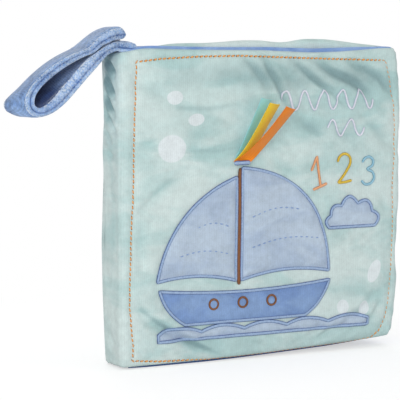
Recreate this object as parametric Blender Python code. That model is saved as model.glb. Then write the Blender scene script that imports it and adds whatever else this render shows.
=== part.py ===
"""Crinkle cloth book for a baby, standing on its foot with its covers closed.

Four padded leaves turn on a padded spine: a front cover, two pages and a back cover. Each leaf is a pillow of two
plush squares sewn at the rim, with wadding and a sheet of crinkle film inside. A plush strap is sewn to the top of
the spine and folds back on itself, held by a hook-and-loop patch. The front cover carries applique shapes,
embroidery, a border of running stitch and three ribbons.

Metres, +Z up. +X runs from the spine to the fore edge, and the front cover faces -Y. The origin is the middle of
the spine's foot.
"""

import math

import bmesh
import bpy
from mathutils import Quaternion, Vector

for old in list(bpy.data.objects):
    bpy.data.objects.remove(old)

# Driving sizes of the book
book_height = 0.205
cover_width = 0.203  # from the hinge line of a cover to its fore edge
leaf_thick = 0.0082  # one padded leaf at its crown
ply_gap = 0.0003  # air left between two plies that touch
page_rise = 0.0030  # how much taller the first page stands than the covers

# Plies of a leaf
plush_thick = 0.0012
film_thick = 0.0003
edge_roll = 0.0065  # how far in from its rim a leaf takes to round up to full thickness
crown_drop_share = 0.18  # how much thinner a leaf is near its corners than at its middle
corner_round = 0.008
side_draw = 0.0014  # how far the top and the fore edge pull in between their corners
foot_cut = 0.0005  # depth of the flat that a leaf stands on
rim_row_shares = (0.12, 0.5, 1.0)  # rows of points over a leaf's rolled rim
filling_share = 0.5  # of edge_roll, from a leaf's rim to its filling
mid_row_shares = (0.28, 0.5, 0.72)  # rows of points across the rest of a leaf

# Running stitch round the front cover, and the channel that it pulls into the padding
stitch_inset = 0.0085
stitch_width = 0.0012
stitch_thick = 0.0008
channel_half = 0.0020
channel_depth = 0.0008
stitch_corner = 0.003

# Padded spine, and the sewn bindings that the leaves turn on
spine_thick = 0.006
spine_round = 0.0014
binding_thick = 0.003
binding_width = 0.003  # from a hinge line to the rim of its leaf
overrun = 0.002  # how far a cutter runs past what it cuts
round_steps = 8
corner_steps = 3

leaf_pitch = leaf_thick + ply_gap
spine_half = spine_thick / 2
binding_half = binding_thick / 2
cover_y = 1.5 * leaf_pitch
page_y = 0.5 * leaf_pitch
page_hinge_x = spine_half + ply_gap + binding_half
seam_half = ply_gap / 2


# Materials
def fabric(name, colour, roughness):
    """A cloth or thread finish in one plain colour."""
    material = bpy.data.materials.new(name)
    material.use_nodes = True
    shader = material.node_tree.nodes["Principled BSDF"]
    shader.inputs["Base Color"].default_value = (*colour, 1.0)
    shader.inputs["Roughness"].default_value = roughness
    shader.inputs["Metallic"].default_value = 0.0
    return material


mint_plush = fabric("mint_plush", (0.56, 0.72, 0.69), 0.95)
blue_plush = fabric("blue_plush", (0.26, 0.39, 0.66), 0.95)
pale_blue_plush = fabric("pale_blue_plush", (0.45, 0.55, 0.72), 0.95)
wadding_white = fabric("wadding_white", (0.85, 0.85, 0.83), 1.0)
crinkle_film = fabric("crinkle_film", (0.80, 0.82, 0.84), 0.25)
orange_thread = fabric("orange_thread", (0.75, 0.38, 0.14), 0.6)
brown_thread = fabric("brown_thread", (0.20, 0.08, 0.03), 0.6)
white_thread = fabric("white_thread", (0.82, 0.83, 0.90), 0.6)
peach_thread = fabric("peach_thread", (0.80, 0.42, 0.22), 0.6)
gold_thread = fabric("gold_thread", (0.78, 0.55, 0.06), 0.6)
sky_thread = fabric("sky_thread", (0.30, 0.58, 0.68), 0.6)
teal_ribbon = fabric("teal_ribbon", (0.24, 0.54, 0.52), 0.5)
yellow_ribbon = fabric("yellow_ribbon", (0.76, 0.52, 0.04), 0.5)
orange_ribbon = fabric("orange_ribbon", (0.78, 0.27, 0.03), 0.5)
hook_tape = fabric("hook_tape", (0.75, 0.74, 0.72), 0.7)


# Solids
def add_object(name, shell, material, parent=None):
    """The mesh in a BMesh as a smooth-shaded object."""
    bmesh.ops.recalc_face_normals(shell, faces=shell.faces)
    mesh = bpy.data.meshes.new(name)
    shell.to_mesh(mesh)
    shell.free()
    mesh.shade_smooth()
    mesh.set_sharp_from_angle(angle=math.radians(40))
    made = bpy.data.objects.new(name, mesh)
    bpy.context.scene.collection.objects.link(made)
    if material is not None:
        mesh.materials.append(material)
    if parent is not None:
        made.parent = parent
        made.matrix_parent_inverse = parent.matrix_world.inverted()
    return made


def hinge_empty(name, place):
    """An empty on a joint's axis, which the pieces that turn there are parented to."""
    empty = bpy.data.objects.new(name, None)
    empty.location = place
    bpy.context.scene.collection.objects.link(empty)
    bpy.context.view_layer.update()
    return empty


def as_cutter(made):
    made.hide_render = True
    made.display_type = "WIRE"
    return made


def cut(target, cutter, operation):
    """Puts a Boolean of this operation on the target."""
    step = target.modifiers.new(cutter.name, "BOOLEAN")
    step.operation = operation
    step.object = cutter
    step.solver = "EXACT"


def split_quad(shell, a, b, c, d, from_first):
    """Two triangles over four points in a ring, along the diagonal from the first point or from the second."""
    if from_first:
        shell.faces.new((a, b, c))
        shell.faces.new((a, c, d))
    else:
        shell.faces.new((a, b, d))
        shell.faces.new((b, c, d))


def slab(name, plan, near, far, material, parent=None):
    """Closed solid between two surfaces over one grid of (x, z) places. Where they meet they share their points."""
    shell = bmesh.new()
    rows, columns = len(plan), len(plan[0])
    sheets = [[[shell.verts.new((x, y, z)) for (x, z), y in zip(line, heights)]
               for line, heights in zip(plan, surface)] for surface in (near, far)]
    for points in sheets:
        for row in range(rows - 1):
            for column in range(columns - 1):
                into_corner = (2 * row < rows - 1) == (2 * column < columns - 1)
                split_quad(shell, points[row][column], points[row][column + 1],
                           points[row + 1][column + 1], points[row + 1][column], into_corner)
    rim = ([(0, column) for column in range(columns - 1)]
           + [(row, columns - 1) for row in range(rows - 1)]
           + [(rows - 1, column) for column in range(columns - 1, 0, -1)]
           + [(row, 0) for row in range(rows - 1, 0, -1)])
    for here, there in zip(rim, rim[1:] + rim[:1]):
        ring = [sheets[0][here[0]][here[1]], sheets[0][there[0]][there[1]],
                sheets[1][there[0]][there[1]], sheets[1][here[0]][here[1]]]
        if abs(ring[0].co.y - ring[3].co.y) > seam_half:
            split_quad(shell, *ring, True)
    bmesh.ops.remove_doubles(shell, verts=shell.verts, dist=seam_half / 10)
    return add_object(name, shell, material, parent)


def loft(name, rings, material, parent=None):
    """Closed solid through a row of rings of points, with a flat cap on each end."""
    shell = bmesh.new()
    lines = [[shell.verts.new(point) for point in ring] for ring in rings]
    for near, far in zip(lines, lines[1:]):
        for side in range(len(near)):
            after = (side + 1) % len(near)
            shell.faces.new((near[side], near[after], far[after], far[side]))
    shell.faces.new(lines[0])
    shell.faces.new(lines[-1])
    return add_object(name, shell, material, parent)


def upright_prism(name, outline, low, high, material, parent=None):
    """An outline of (x, y) points carried straight up from low to high."""
    return loft(name, [[Vector((x, y, z)) for x, y in outline] for z in (low, high)], material, parent)


# Leaves
class Leaf:
    """One padded leaf: its hinge line, the rim of its pillow, and whether the border is stitched through it."""

    def __init__(self, name, hinge_x, y, rise=0.0, stitched=False):
        self.name = name
        self.y = y
        self.hinge_x = hinge_x
        self.rim_x = hinge_x + binding_width
        self.width = cover_width - self.rim_x
        self.height = book_height + rise + foot_cut
        self.stitched = stitched
        self.across = [0.0] + self.rows(self.width, 0.0)
        self.up = [0.0, foot_cut] + self.rows(self.height, foot_cut)
        self.hinge = hinge_empty(name + "_hinge", (hinge_x, y, 0.0))

    def rows(self, length, start):
        """Places across a leaf, close together where it rolls over its rims and beside the stitched channel."""
        channel = [stitch_inset - channel_half, stitch_inset, stitch_inset + channel_half] if self.stitched else []
        places = [start + share * (edge_roll - start) for share in rim_row_shares] + channel
        places += [share * length for share in mid_row_shares]
        places += [length - share * edge_roll for share in rim_row_shares] + [length - place for place in channel]
        places = sorted(places) + [length]
        return [place for place, after in zip(places, places[1:]) if after - place > seam_half] + [length]

    def half_thick(self, across, up):
        """From the middle of the leaf to its outer surface, at a distance from its spine rim and its foot."""
        in_x = min(across, self.width - across)
        in_z = min(up, self.height - up)
        rolled = 1.0
        for inward in (in_x, in_z):
            rolled *= math.sqrt(1 - (1 - min(max(inward / edge_roll, 0), 1)) ** 2)
        u = 2 * across / self.width - 1
        v = 2 * up / self.height - 1
        thick = leaf_thick / 2 * rolled * (1 - crown_drop_share * (1 - (1 - u * u) * (1 - v * v)))
        if self.stitched:
            thick -= channel_depth * max(0.0, 1 - abs(min(in_x, in_z) - stitch_inset) / channel_half)
        return thick

    def place(self, across, up):
        """Where a point of the flat pattern lies once sewn: corners rounded, top and fore edge drawn in."""
        x, z = across - self.width / 2, up - self.height / 2
        reach_x, reach_z = self.width / 2 - corner_round, self.height / 2 - corner_round
        past_x, past_z = abs(x) - reach_x, abs(z) - reach_z
        if past_x > 0 and past_z > 0:
            bend = 2 * corner_round * corner_round
            x = math.copysign(reach_x + past_x * math.sqrt(1 - past_z * past_z / bend), x)
            z = math.copysign(reach_z + past_z * math.sqrt(1 - past_x * past_x / bend), z)
        u, v = 2 * x / self.width, 2 * z / self.height
        if u > 0:
            x -= side_draw * (1 - v * v) * u * u
        if v > 0:
            z -= side_draw * (1 - u * u) * v * v
        return self.rim_x + self.width / 2 + x, max(z + self.height / 2 - foot_cut, 0.0)

    def plan(self, ups, acrosses):
        return [[self.place(across, up) for across in acrosses] for up in ups]

    def outer(self, ups, acrosses, side, lift=0.0):
        """The y of the leaf's outer surface, on the side that faces -Y or +Y, or of a ply that lies on it."""
        return [[self.y + side * (max(self.half_thick(across, up), seam_half) + lift) for across in acrosses]
                for up in ups]

    def under(self, ups, acrosses, side):
        """The y of the inner surface of a plush. It meets the outer one at the rim and at the foot's fold."""
        return [[self.y + side * (seam_half if up <= foot_cut
                                  else max(self.half_thick(across, up) - plush_thick, seam_half))
                 for across in acrosses] for up in ups]

    def filling(self, ups, acrosses, side, depth):
        """The y at this depth under the outer surface, free to cross the middle of the leaf."""
        return [[self.y + side * (self.half_thick(across, up) - depth) for across in acrosses] for up in ups]

    def inside(self, places, length):
        """Those of the places that lie within the filling's rim."""
        inset = filling_share * edge_roll
        return [place for place in places if inset - seam_half <= place <= length - inset + seam_half]


def make_leaf(leaf, front_name, front_material, back_name, back_material):
    """Front plush, crinkle film, wadding and back plush of a leaf, and the binding that it turns on."""
    plan = leaf.plan(leaf.up, leaf.across)
    for name, side, material in ((front_name, -1, front_material), (back_name, 1, back_material)):
        slab(name, plan, leaf.outer(leaf.up, leaf.across, side), leaf.under(leaf.up, leaf.across, side),
             material, leaf.hinge)

    ups, acrosses = leaf.inside(leaf.up, leaf.height), leaf.inside(leaf.across, leaf.width)
    plan = leaf.plan(ups, acrosses)
    under_plush = plush_thick + ply_gap
    under_film = under_plush + film_thick
    slab(leaf.name + "_crinkle_film", plan, leaf.filling(ups, acrosses, -1, under_plush),
         leaf.filling(ups, acrosses, -1, under_film), crinkle_film, leaf.hinge)
    slab(leaf.name + "_wadding", plan, leaf.filling(ups, acrosses, -1, under_film + ply_gap),
         leaf.filling(ups, acrosses, 1, under_plush), wadding_white, leaf.hinge)

    edge = leaf.rim_x - ply_gap
    outline = [(edge, leaf.y - binding_half), (edge, leaf.y + binding_half)]
    for step in range(round_steps + 1):
        turn = math.pi * (0.5 + step / round_steps)
        outline.append((leaf.hinge_x + binding_half * math.cos(turn), leaf.y + binding_half * math.sin(turn)))
    upright_prism(leaf.name + "_binding", outline, 0.0, book_height - corner_round, mint_plush, leaf.hinge)


front_cover = Leaf("front_cover", 0.0, -cover_y, stitched=True)
page_1 = Leaf("page_1", page_hinge_x, -page_y, rise=page_rise)
page_2 = Leaf("page_2", page_hinge_x, page_y)
back_cover = Leaf("back_cover", 0.0, cover_y)
make_leaf(front_cover, "front_cover_plush", mint_plush, "front_cover_lining", blue_plush)
make_leaf(page_1, "page_1_front_plush", mint_plush, "page_1_back_plush", blue_plush)
make_leaf(page_2, "page_2_front_plush", blue_plush, "page_2_back_plush", mint_plush)
make_leaf(back_cover, "back_cover_lining", blue_plush, "back_cover_plush", mint_plush)


# Spine
def box(name, low, high, material):
    """A block between two corners."""
    outline = [(low[0], low[1]), (high[0], low[1]), (high[0], high[1]), (low[0], high[1])]
    return upright_prism(name, outline, low[2], high[2], material)


def make_spine():
    """A plush tray, its wadding and the lining that closes it, between the hinge lines of the two covers."""
    half = cover_y - binding_half - ply_gap
    lining_x = spine_half - plush_thick
    rim_x = lining_x - ply_gap
    outline = [(rim_x, -half), (rim_x, half)]
    for side in (1, -1):
        for step in range(corner_steps + 1):
            turn = math.pi / 2 * (step / corner_steps if side > 0 else 1 - step / corner_steps)
            outline.append((spine_round - spine_half - spine_round * math.sin(turn),
                            side * (half - spine_round + spine_round * math.cos(turn))))
    tray = upright_prism("spine_plush", outline, 0.0, book_height, mint_plush)
    hollow = box("spine_hollow", (plush_thick - spine_half, plush_thick - half, plush_thick),
                 (rim_x + overrun, half - plush_thick, book_height - plush_thick), None)
    cut(tray, as_cutter(hollow), "DIFFERENCE")
    inset = plush_thick + ply_gap
    box("spine_wadding", (inset - spine_half, inset - half, inset), (rim_x, half - inset, book_height - inset),
        wadding_white)
    box("spine_lining", (lining_x, -half, 0.0), (spine_half, half, book_height), blue_plush)


make_spine()

# Applique and embroidery on the front cover
applique_thick = 0.0010
thread_thick = 0.0007
shape_gap = 0.0008  # bare cover between two applique shapes
arc_steps = 6


def arc_edge(start, end, bulge_share, steps):
    """Points from start, short of end, along an arc that stands off its chord by this share of it, to the right."""
    (x0, z0), (x1, z1) = start, end
    points = []
    for step in range(steps):
        t = step / steps
        rise = 4 * bulge_share * t * (1 - t)
        points.append((x0 + (x1 - x0) * t + (z1 - z0) * rise, z0 + (z1 - z0) * t - (x1 - x0) * rise))
    return points


def bulged_outline(corners, bulge_shares):
    """An outline through its corners, counter-clockwise, each side an arc that bulges outwards."""
    outline = []
    for corner, after, bulge in zip(corners, corners[1:] + corners[:1], bulge_shares):
        outline += arc_edge(corner, after, bulge, arc_steps if bulge else 1)
    return outline


def stroke_outline(line, width):
    """The outline of a stroke of even width along a line of points, mitred at its bends."""
    left, right = [], []
    for number, point in enumerate(line):
        here = Vector(point)
        into = here - Vector(line[number - 1]) if number else Vector(line[1]) - here
        out = Vector(line[number + 1]) - here if number < len(line) - 1 else into
        along = (into.normalized() + out.normalized()).normalized()
        reach = width / 2 / max(along.dot(out.normalized()), 0.5)
        left.append((here.x - along.y * reach, here.y + along.x * reach))
        right.append((here.x + along.y * reach, here.y - along.x * reach))
    return right + left[::-1]


def trim(name, outlines, thick, material, hole=None):
    """A shape on the front cover, cut from a ply that follows it. Its outlines are joined into one."""
    leaf = front_cover
    ups, acrosses = leaf.inside(leaf.up, leaf.height), leaf.inside(leaf.across, leaf.width)
    ply = slab(name, leaf.plan(ups, acrosses), leaf.outer(ups, acrosses, -1, ply_gap + thick),
               leaf.outer(ups, acrosses, -1, ply_gap), material, leaf.hinge)

    def cutter(part, outline, past):
        rings = [[Vector((x, y, z)) for x, z in outline]
                 for y in (-cover_y - leaf_thick - past, past - cover_y)]
        return as_cutter(loft(f"{name}_{part}", rings, None))

    cutters = [cutter(f"shape_{number}", outline, number * overrun) for number, outline in enumerate(outlines)]
    for extra in cutters[1:]:
        cut(cutters[0], extra, "UNION")
    cut(ply, cutters[0], "INTERSECT")
    if hole is not None:
        cut(ply, cutter("hole", hole, overrun), "DIFFERENCE")


# Running stitch
def rounded_border(inset, corner):
    """The outline of a square with rounded corners, this far inside the rim of the front cover."""
    leaf = front_cover
    low_x, high_x = leaf.rim_x + inset, leaf.rim_x + leaf.width - inset
    low_z, high_z = inset - foot_cut, leaf.height - foot_cut - inset
    outline = []
    for quarter, x, z in ((0, high_x - corner, high_z - corner), (1, low_x + corner, high_z - corner),
                          (2, low_x + corner, low_z + corner), (3, high_x - corner, low_z + corner)):
        for step in range(corner_steps + 1):
            turn = math.pi / 2 * (quarter + step / corner_steps)
            outline.append((x + corner * math.cos(turn), z + corner * math.sin(turn)))
    return outline


trim("border_stitch", [rounded_border(stitch_inset - stitch_width / 2, stitch_corner + stitch_width / 2)],
     stitch_thick, orange_thread,
     rounded_border(stitch_inset + stitch_width / 2, stitch_corner - stitch_width / 2))

# Sailing boat
mast_x = 0.0815
sail_foot = 0.0530
sail_height = 0.0740
mast_width = 0.0026
mast_foot = 0.0030  # how far the mast runs below the sails
main_width = 0.0660
main_corner_shares = (0.04, -0.06, 0.22)  # clew's rise, foot's and leech's bulge
jib_width = 0.0580
jib_height_share = 0.92
jib_corner_shares = (0.04, 0.14, -0.06)
hull_length = 0.1270
hull_depth = 0.0230
hull_end_shares = (0.22, 0.80)  # where the hull starts on the bow's side of the mast, and its rake
hull_bulge_shares = (0.10, 0.0, 0.10, -0.03)


def make_boat():
    """A sailing boat in padded applique: two sails, the mast in satin stitch and the hull."""
    edge = mast_width / 2 + shape_gap
    rise, foot_bulge, leech_bulge = main_corner_shares
    trim("main_sail", [bulged_outline(
        [(mast_x + edge, sail_foot), (mast_x + edge + main_width, sail_foot + main_width * rise),
         (mast_x + edge, sail_foot + sail_height)], (foot_bulge, leech_bulge, 0.0))],
        applique_thick, pale_blue_plush)
    rise, leech_bulge, foot_bulge = jib_corner_shares
    trim("jib_sail", [bulged_outline(
        [(mast_x - edge, sail_foot), (mast_x - edge, sail_foot + sail_height * jib_height_share),
         (mast_x - edge - jib_width, sail_foot + jib_width * rise)], (0.0, leech_bulge, foot_bulge))],
        applique_thick, pale_blue_plush)
    deck = sail_foot - mast_foot
    trim("mast", [[(mast_x - mast_width / 2, deck), (mast_x + mast_width / 2, deck),
                   (mast_x + mast_width / 2, sail_foot + sail_height),
                   (mast_x - mast_width / 2, sail_foot + sail_height)]], thread_thick, brown_thread)
    deck -= shape_gap
    ahead, rake = hull_end_shares
    bow = mast_x - hull_length / 2 + ahead * hull_depth
    stern = bow + hull_length
    trim("hull", [bulged_outline(
        [(bow, deck), (bow + hull_depth * rake, deck - hull_depth), (stern - hull_depth * rake, deck - hull_depth),
         (stern, deck)], hull_bulge_shares)], applique_thick, blue_plush)


make_boat()

# Sea and cloud
sea_start = 0.0215
sea_foot = 0.0165
sea_depth = 0.0045
crest_length = 0.0320
crest_height = 0.0032
crest_count = 5
cloud_x = 0.1500
cloud_foot = 0.0840
cloud_length = 0.0360
cloud_height = 0.0200
puff_place_shares = ((1.0, 0.0), (0.94, 0.50), (0.62, 0.78), (0.26, 0.72), (0.04, 0.40))  # of length and height
puff_bulge_shares = (0.0, 0.40, 0.36, 0.42, 0.34, 0.36)


def make_sea():
    """A strip of pale water with rounded crests under the hull."""
    length = crest_length * crest_count
    outline = [(sea_start, sea_foot), (sea_start + length, sea_foot)]
    for crest in range(crest_count, 0, -1):
        start = (sea_start + crest * crest_length, sea_foot + sea_depth)
        end = (start[0] - crest_length, start[1])
        outline += arc_edge(start, end, crest_height / crest_length, arc_steps)
    outline.append((sea_start, sea_foot + sea_depth))
    trim("sea", [outline], applique_thick, pale_blue_plush)


def make_cloud():
    """A cloud of puffs over a flat base."""
    corners = [(cloud_x, cloud_foot)] + [(cloud_x + cloud_length * along, cloud_foot + cloud_height * up)
                                         for along, up in puff_place_shares]
    trim("cloud", [bulged_outline(corners, puff_bulge_shares)], applique_thick, pale_blue_plush)


make_sea()
make_cloud()

# Numerals
numeral_height = 0.0225
numeral_width = 0.0120
numeral_stroke = 0.0026
numeral_foot = 0.1095
numeral_starts = (0.1365, 0.1560, 0.1745)
bowl_share = 0.25  # radius of the upper bowl of a numeral, of its height


def bowl(centre_share, radius_share, start_degrees, end_degrees):
    """Points round a bowl of a numeral, in shares of its width and height."""
    steps = 2 * arc_steps
    points = []
    for step in range(steps + 1):
        turn = math.radians(start_degrees + (end_degrees - start_degrees) * step / steps)
        points.append((0.5 + 0.5 * math.cos(turn), centre_share + radius_share * math.sin(turn)))
    return points


def make_numerals():
    """The figures 1, 2 and 3 in padded satin stitch."""
    upper = 1 - bowl_share
    lines = ([[(0.15, upper), (0.60, 1.0), (0.60, 0.0)]],
             [bowl(upper, bowl_share, 160, -30) + [(0.0, 0.0), (1.0, 0.0)]],
             [bowl(upper, bowl_share, 150, -95), bowl(bowl_share, bowl_share, 95, -150)])
    for number, (strokes, start, thread) in enumerate(
            zip(lines, numeral_starts, (peach_thread, gold_thread, sky_thread))):
        outlines = [stroke_outline([(start + along * numeral_width, numeral_foot + up * numeral_height)
                                    for along, up in stroke], numeral_stroke) for stroke in strokes]
        trim(f"numeral_{number + 1}", outlines, thread_thick, thread)


make_numerals()

# Ripples in white thread
ripple_stroke = 0.0020
ripple_crest = 0.0145  # length of one crest
ripple_upper_start = 0.1120
ripple_upper_middle = 0.1700
ripple_upper_height = 0.0130
ripple_upper_count = 5
ripple_lower_start = 0.1480
ripple_lower_middle = 0.1510
ripple_lower_height = 0.0110
ripple_lower_count = 2


def make_ripple(name, start, middle, height, count):
    """A wavy line of white embroidery."""
    steps = count * arc_steps
    line = [(start + count * ripple_crest * step / steps,
             middle + height / 2 * math.sin(2 * math.pi * count * step / steps)) for step in range(steps + 1)]
    trim(name, [stroke_outline(line, ripple_stroke)], thread_thick, white_thread)


make_ripple("ripple_upper", ripple_upper_start, ripple_upper_middle, ripple_upper_height, ripple_upper_count)
make_ripple("ripple_lower", ripple_lower_start, ripple_lower_middle, ripple_lower_height, ripple_lower_count)

# Ribbons
ribbon_width = 0.010
ribbon_thick = 0.0006
ribbon_above_mast = 0.0040
ribbon_hinge_drop = 0.0030  # from a ribbon's lower end down to the seam that all three turn on
ribbon_swell = 0.0012  # how far a ribbon bows over its length
ribbon_rings = 6
teal_length = 0.0455
yellow_length = 0.046
orange_length = 0.050
# After a ribbon's length come its lean, its angle off the cover and its twist, in degrees
ribbon_kinds = (("ribbon_teal", teal_length, 17, 20, 23, teal_ribbon),
                ("ribbon_yellow", yellow_length, 21, 28, 37, yellow_ribbon),
                ("ribbon_orange", orange_length, 32, 34, 28, orange_ribbon))


def make_ribbons():
    """Three pennants sewn one on another above the mast. Each stands off the cover more than the last."""
    leaf = front_cover
    root_z = sail_foot + sail_height + ribbon_above_mast
    face = leaf.y - leaf.half_thick(mast_x - leaf.rim_x, root_z + foot_cut) - 3 * ply_gap
    seam = hinge_empty("ribbon_seam", (mast_x, face, root_z - ribbon_hinge_drop))
    for number, (name, length, lean_degrees, out_degrees, twist_degrees, material) in enumerate(ribbon_kinds):
        lean, out, twist = (math.radians(angle) for angle in (lean_degrees, out_degrees, twist_degrees))
        pitch = ribbon_thick + ply_gap
        root = Vector((mast_x, face - number * pitch / math.cos(out), root_z))
        along = Vector((math.sin(lean) * math.cos(out), -math.sin(out), math.cos(lean) * math.cos(out)))
        flat = Vector((math.cos(lean), 0.0, -math.sin(lean)))
        rings = []
        for ring in range(ribbon_rings):
            share = ring / (ribbon_rings - 1)
            across = Quaternion(along, twist * share) @ flat
            off = along.cross(across)
            middle = root + along * share * length + off * ribbon_swell * math.sin(math.pi * share)
            rings.append([middle + across * side * ribbon_width / 2 + off * face_side * ribbon_thick / 2
                          for side, face_side in ((-1, -1), (1, -1), (1, 1), (-1, 1))])
        loft(name, rings, material, seam)


make_ribbons()

# Strap
strap_width = 0.029
strap_thick = 0.005
patch_thick = 0.0006
patch_width = 0.020
strap_root_x = 0.005
strap_reach = 0.0743  # from the root to the fold
strap_drop = 0.0431
run_shares = ((0.0, 0.0), (0.074, 0.0), (0.129, 0.0), (0.213, -0.088), (0.301, -0.213), (0.417, -0.371),
              (0.514, -0.543), (0.622, -0.747), (0.711, -0.886), (0.810, -0.972), (0.895, -1.0), (0.972, -0.970),
              (1.0, -0.854))  # root to fold, of strap_reach and strap_drop
return_shares = ((0.972, -0.733), (0.882, -0.622), (0.774, -0.471), (0.659, -0.329), (0.552, -0.227),
                 (0.451, -0.151))  # from the fold to where the plies meet
closed_run = (1, 4)  # the points of the lower ply that the flap is stuck to, first and last
section_shares = ((-1.0, 0.0), (-0.8, 0.62), (-0.4, 1.0), (0.4, 1.0), (0.8, 0.62), (1.0, 0.0))  # half a strap's width
strap_root_z = book_height + ply_gap + strap_thick / 2


def strap_line(shares):
    """A row of shares as points in the strap's plane."""
    return [Vector((strap_root_x - reach * strap_reach, 0.0, strap_root_z + drop * strap_drop))
            for reach, drop in shares]


def inward(line, number):
    """The direction square to a line at one of its points, towards the inside of the strap's loop."""
    before, after = line[max(number - 1, 0)], line[min(number + 1, len(line) - 1)]
    along = (after - before).normalized()
    return Vector((along.z, 0.0, -along.x))


def make_ply(name, frames, side, material, parent):
    """Half of a padded strap: a strip along its frames, each a middle and a direction, with a crown on one side."""
    crown = strap_thick / 2 - seam_half
    rings = [[middle + Vector((0.0, across * strap_width / 2, 0.0)) + out * side * (seam_half + high * crown)
              for across, high in section_shares] for middle, out in frames]
    return loft(name, rings, material, parent)


def make_patch(name, frames, parent):
    """A flat piece of tape along its frames, on the inner side of a ply."""
    near = strap_thick / 2 + ply_gap
    far = near + patch_thick
    rings = [[middle + Vector((0.0, across * patch_width / 2, 0.0)) + out * off
              for across, off in ((-1, near), (1, near), (1, far), (-1, far))] for middle, out in frames]
    return loft(name, rings, hook_tape, parent)


def make_strap():
    """The lower ply from the spine's top to the fold, and the flap from the fold back over it."""
    line = strap_line(run_shares)
    fold = len(line) - 1
    first, last = closed_run
    ply_apart = strap_thick + 2 * patch_thick + 4 * ply_gap
    stuck = [line[number] + inward(line, number) * ply_apart for number in range(last, first - 1, -1)]
    line += strap_line(return_shares) + stuck
    frames = [(middle, inward(line, number)) for number, middle in enumerate(line)]
    middle, out = frames[fold]
    split = Vector((0.0, 0.0, seam_half))
    lower = frames[:fold] + [(middle - split, out)]
    flap = [(middle + split, out)] + frames[fold + 1:]
    root = hinge_empty("strap_root", (strap_root_x, 0.0, strap_root_z))
    turn = hinge_empty("strap_fold", middle - Vector((strap_thick / 2, 0.0, 0.0)))
    make_ply("strap_inner_plush", lower, 1, blue_plush, root)
    make_ply("strap_outer_plush", lower, -1, blue_plush, root)
    make_ply("strap_flap_inner_plush", flap, 1, blue_plush, turn)
    make_ply("strap_flap_outer_plush", flap, -1, blue_plush, turn)
    make_patch("strap_loop_patch", lower[first:last + 1], root)
    make_patch("strap_flap_hook_patch", flap[len(return_shares) + 1:], turn)


make_strap()
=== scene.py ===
import math

import bpy
import numpy as np
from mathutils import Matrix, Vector


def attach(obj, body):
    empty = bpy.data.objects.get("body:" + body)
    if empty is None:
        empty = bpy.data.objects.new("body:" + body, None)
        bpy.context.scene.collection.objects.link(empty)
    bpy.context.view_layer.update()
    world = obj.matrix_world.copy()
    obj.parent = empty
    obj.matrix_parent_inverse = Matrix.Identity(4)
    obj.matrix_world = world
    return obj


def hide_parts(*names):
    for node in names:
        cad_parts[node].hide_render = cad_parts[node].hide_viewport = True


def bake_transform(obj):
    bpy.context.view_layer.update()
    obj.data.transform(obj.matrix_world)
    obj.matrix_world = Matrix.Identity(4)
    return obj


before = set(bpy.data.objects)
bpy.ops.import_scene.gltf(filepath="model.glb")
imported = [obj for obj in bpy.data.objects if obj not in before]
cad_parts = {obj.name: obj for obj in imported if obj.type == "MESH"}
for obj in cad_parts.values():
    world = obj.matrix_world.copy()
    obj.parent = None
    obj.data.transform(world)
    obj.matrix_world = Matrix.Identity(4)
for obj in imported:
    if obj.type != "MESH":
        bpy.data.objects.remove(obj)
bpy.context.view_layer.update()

# Front cover and spine. On the real book one piece of printed mint velour is sewn over wadding to make the
# front of the cover, and turns round the hinge on to the spine, where a seam closes it. It is soft, so it
# creases and sags. A place on it has s, its distance along the velour from the spine's edge, and z.
hinge_y = -0.0128  # the middle of the padded cover, where the velour and the lining are sewn together
wrap_end = -0.0204  # how far round on the spine the velour runs
cover_pad = 0.0041
spine_pad = 0.0036
seam_roll = 0.006
crease_depth = 0.0018  # of a crease whose depth is given as 1
pucker_count = 83
bend_start, bend_end, bend_radius = -0.00021, 0.0012, 0.0009

# The edges of the cover, in pairs of millimetres: where, and how high or far out
cover_top = ((-20, 203.6), (-6, 203), (0, 203.2), (5, 204.2), (10, 205.4), (18, 205.6), (35, 204.8),
             (68, 204), (100, 203.5), (136, 201.5), (159, 201.8), (183, 203.2), (195, 204), (206, 203.6))
cover_foot = ((-20, 0.9), (-7, 0.9), (-2, 1.3), (17, 1.4), (57, 1.5), (79, 1.9), (100, 2.3), (122, 3.1),
              (152, 4.2), (183, 5.7), (198, 6.8), (206, 7.8))
cover_fore = ((0, 199.5), (12, 203.2), (30, 205), (50, 205.2), (78, 206.4), (99, 206.2), (126, 206.8),
              (147, 206.4), (167, 207), (184, 206.3), (202, 204.6), (210, 203.5))

# Where the border of running stitch lies, in millimetres from the spine edge and the ground
border_line = ((8, 197), (24.2, 198.7), (52.9, 199.9), (82.2, 200), (119.7, 198.4), (150.4, 197.1),
               (194.4, 195.5), (198.8, 176.7), (201.2, 165.1), (202.3, 134.4), (200.8, 107.1), (201.3, 79.7),
               (200.2, 52.2), (198, 31.6), (195.4, 20.4), (191.6, 11.8), (184.5, 6.8), (168, 5), (128, 3.4),
               (100, 2.4), (75, 1.8), (58, 2), (45, 2.8), (23.7, 3.6), (4.4, 5.6), (4.8, 16), (3.1, 29.1),
               (2.5, 45.3), (3.3, 80.7), (5.6, 122.2), (6, 154), (7.2, 182.5))

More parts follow.
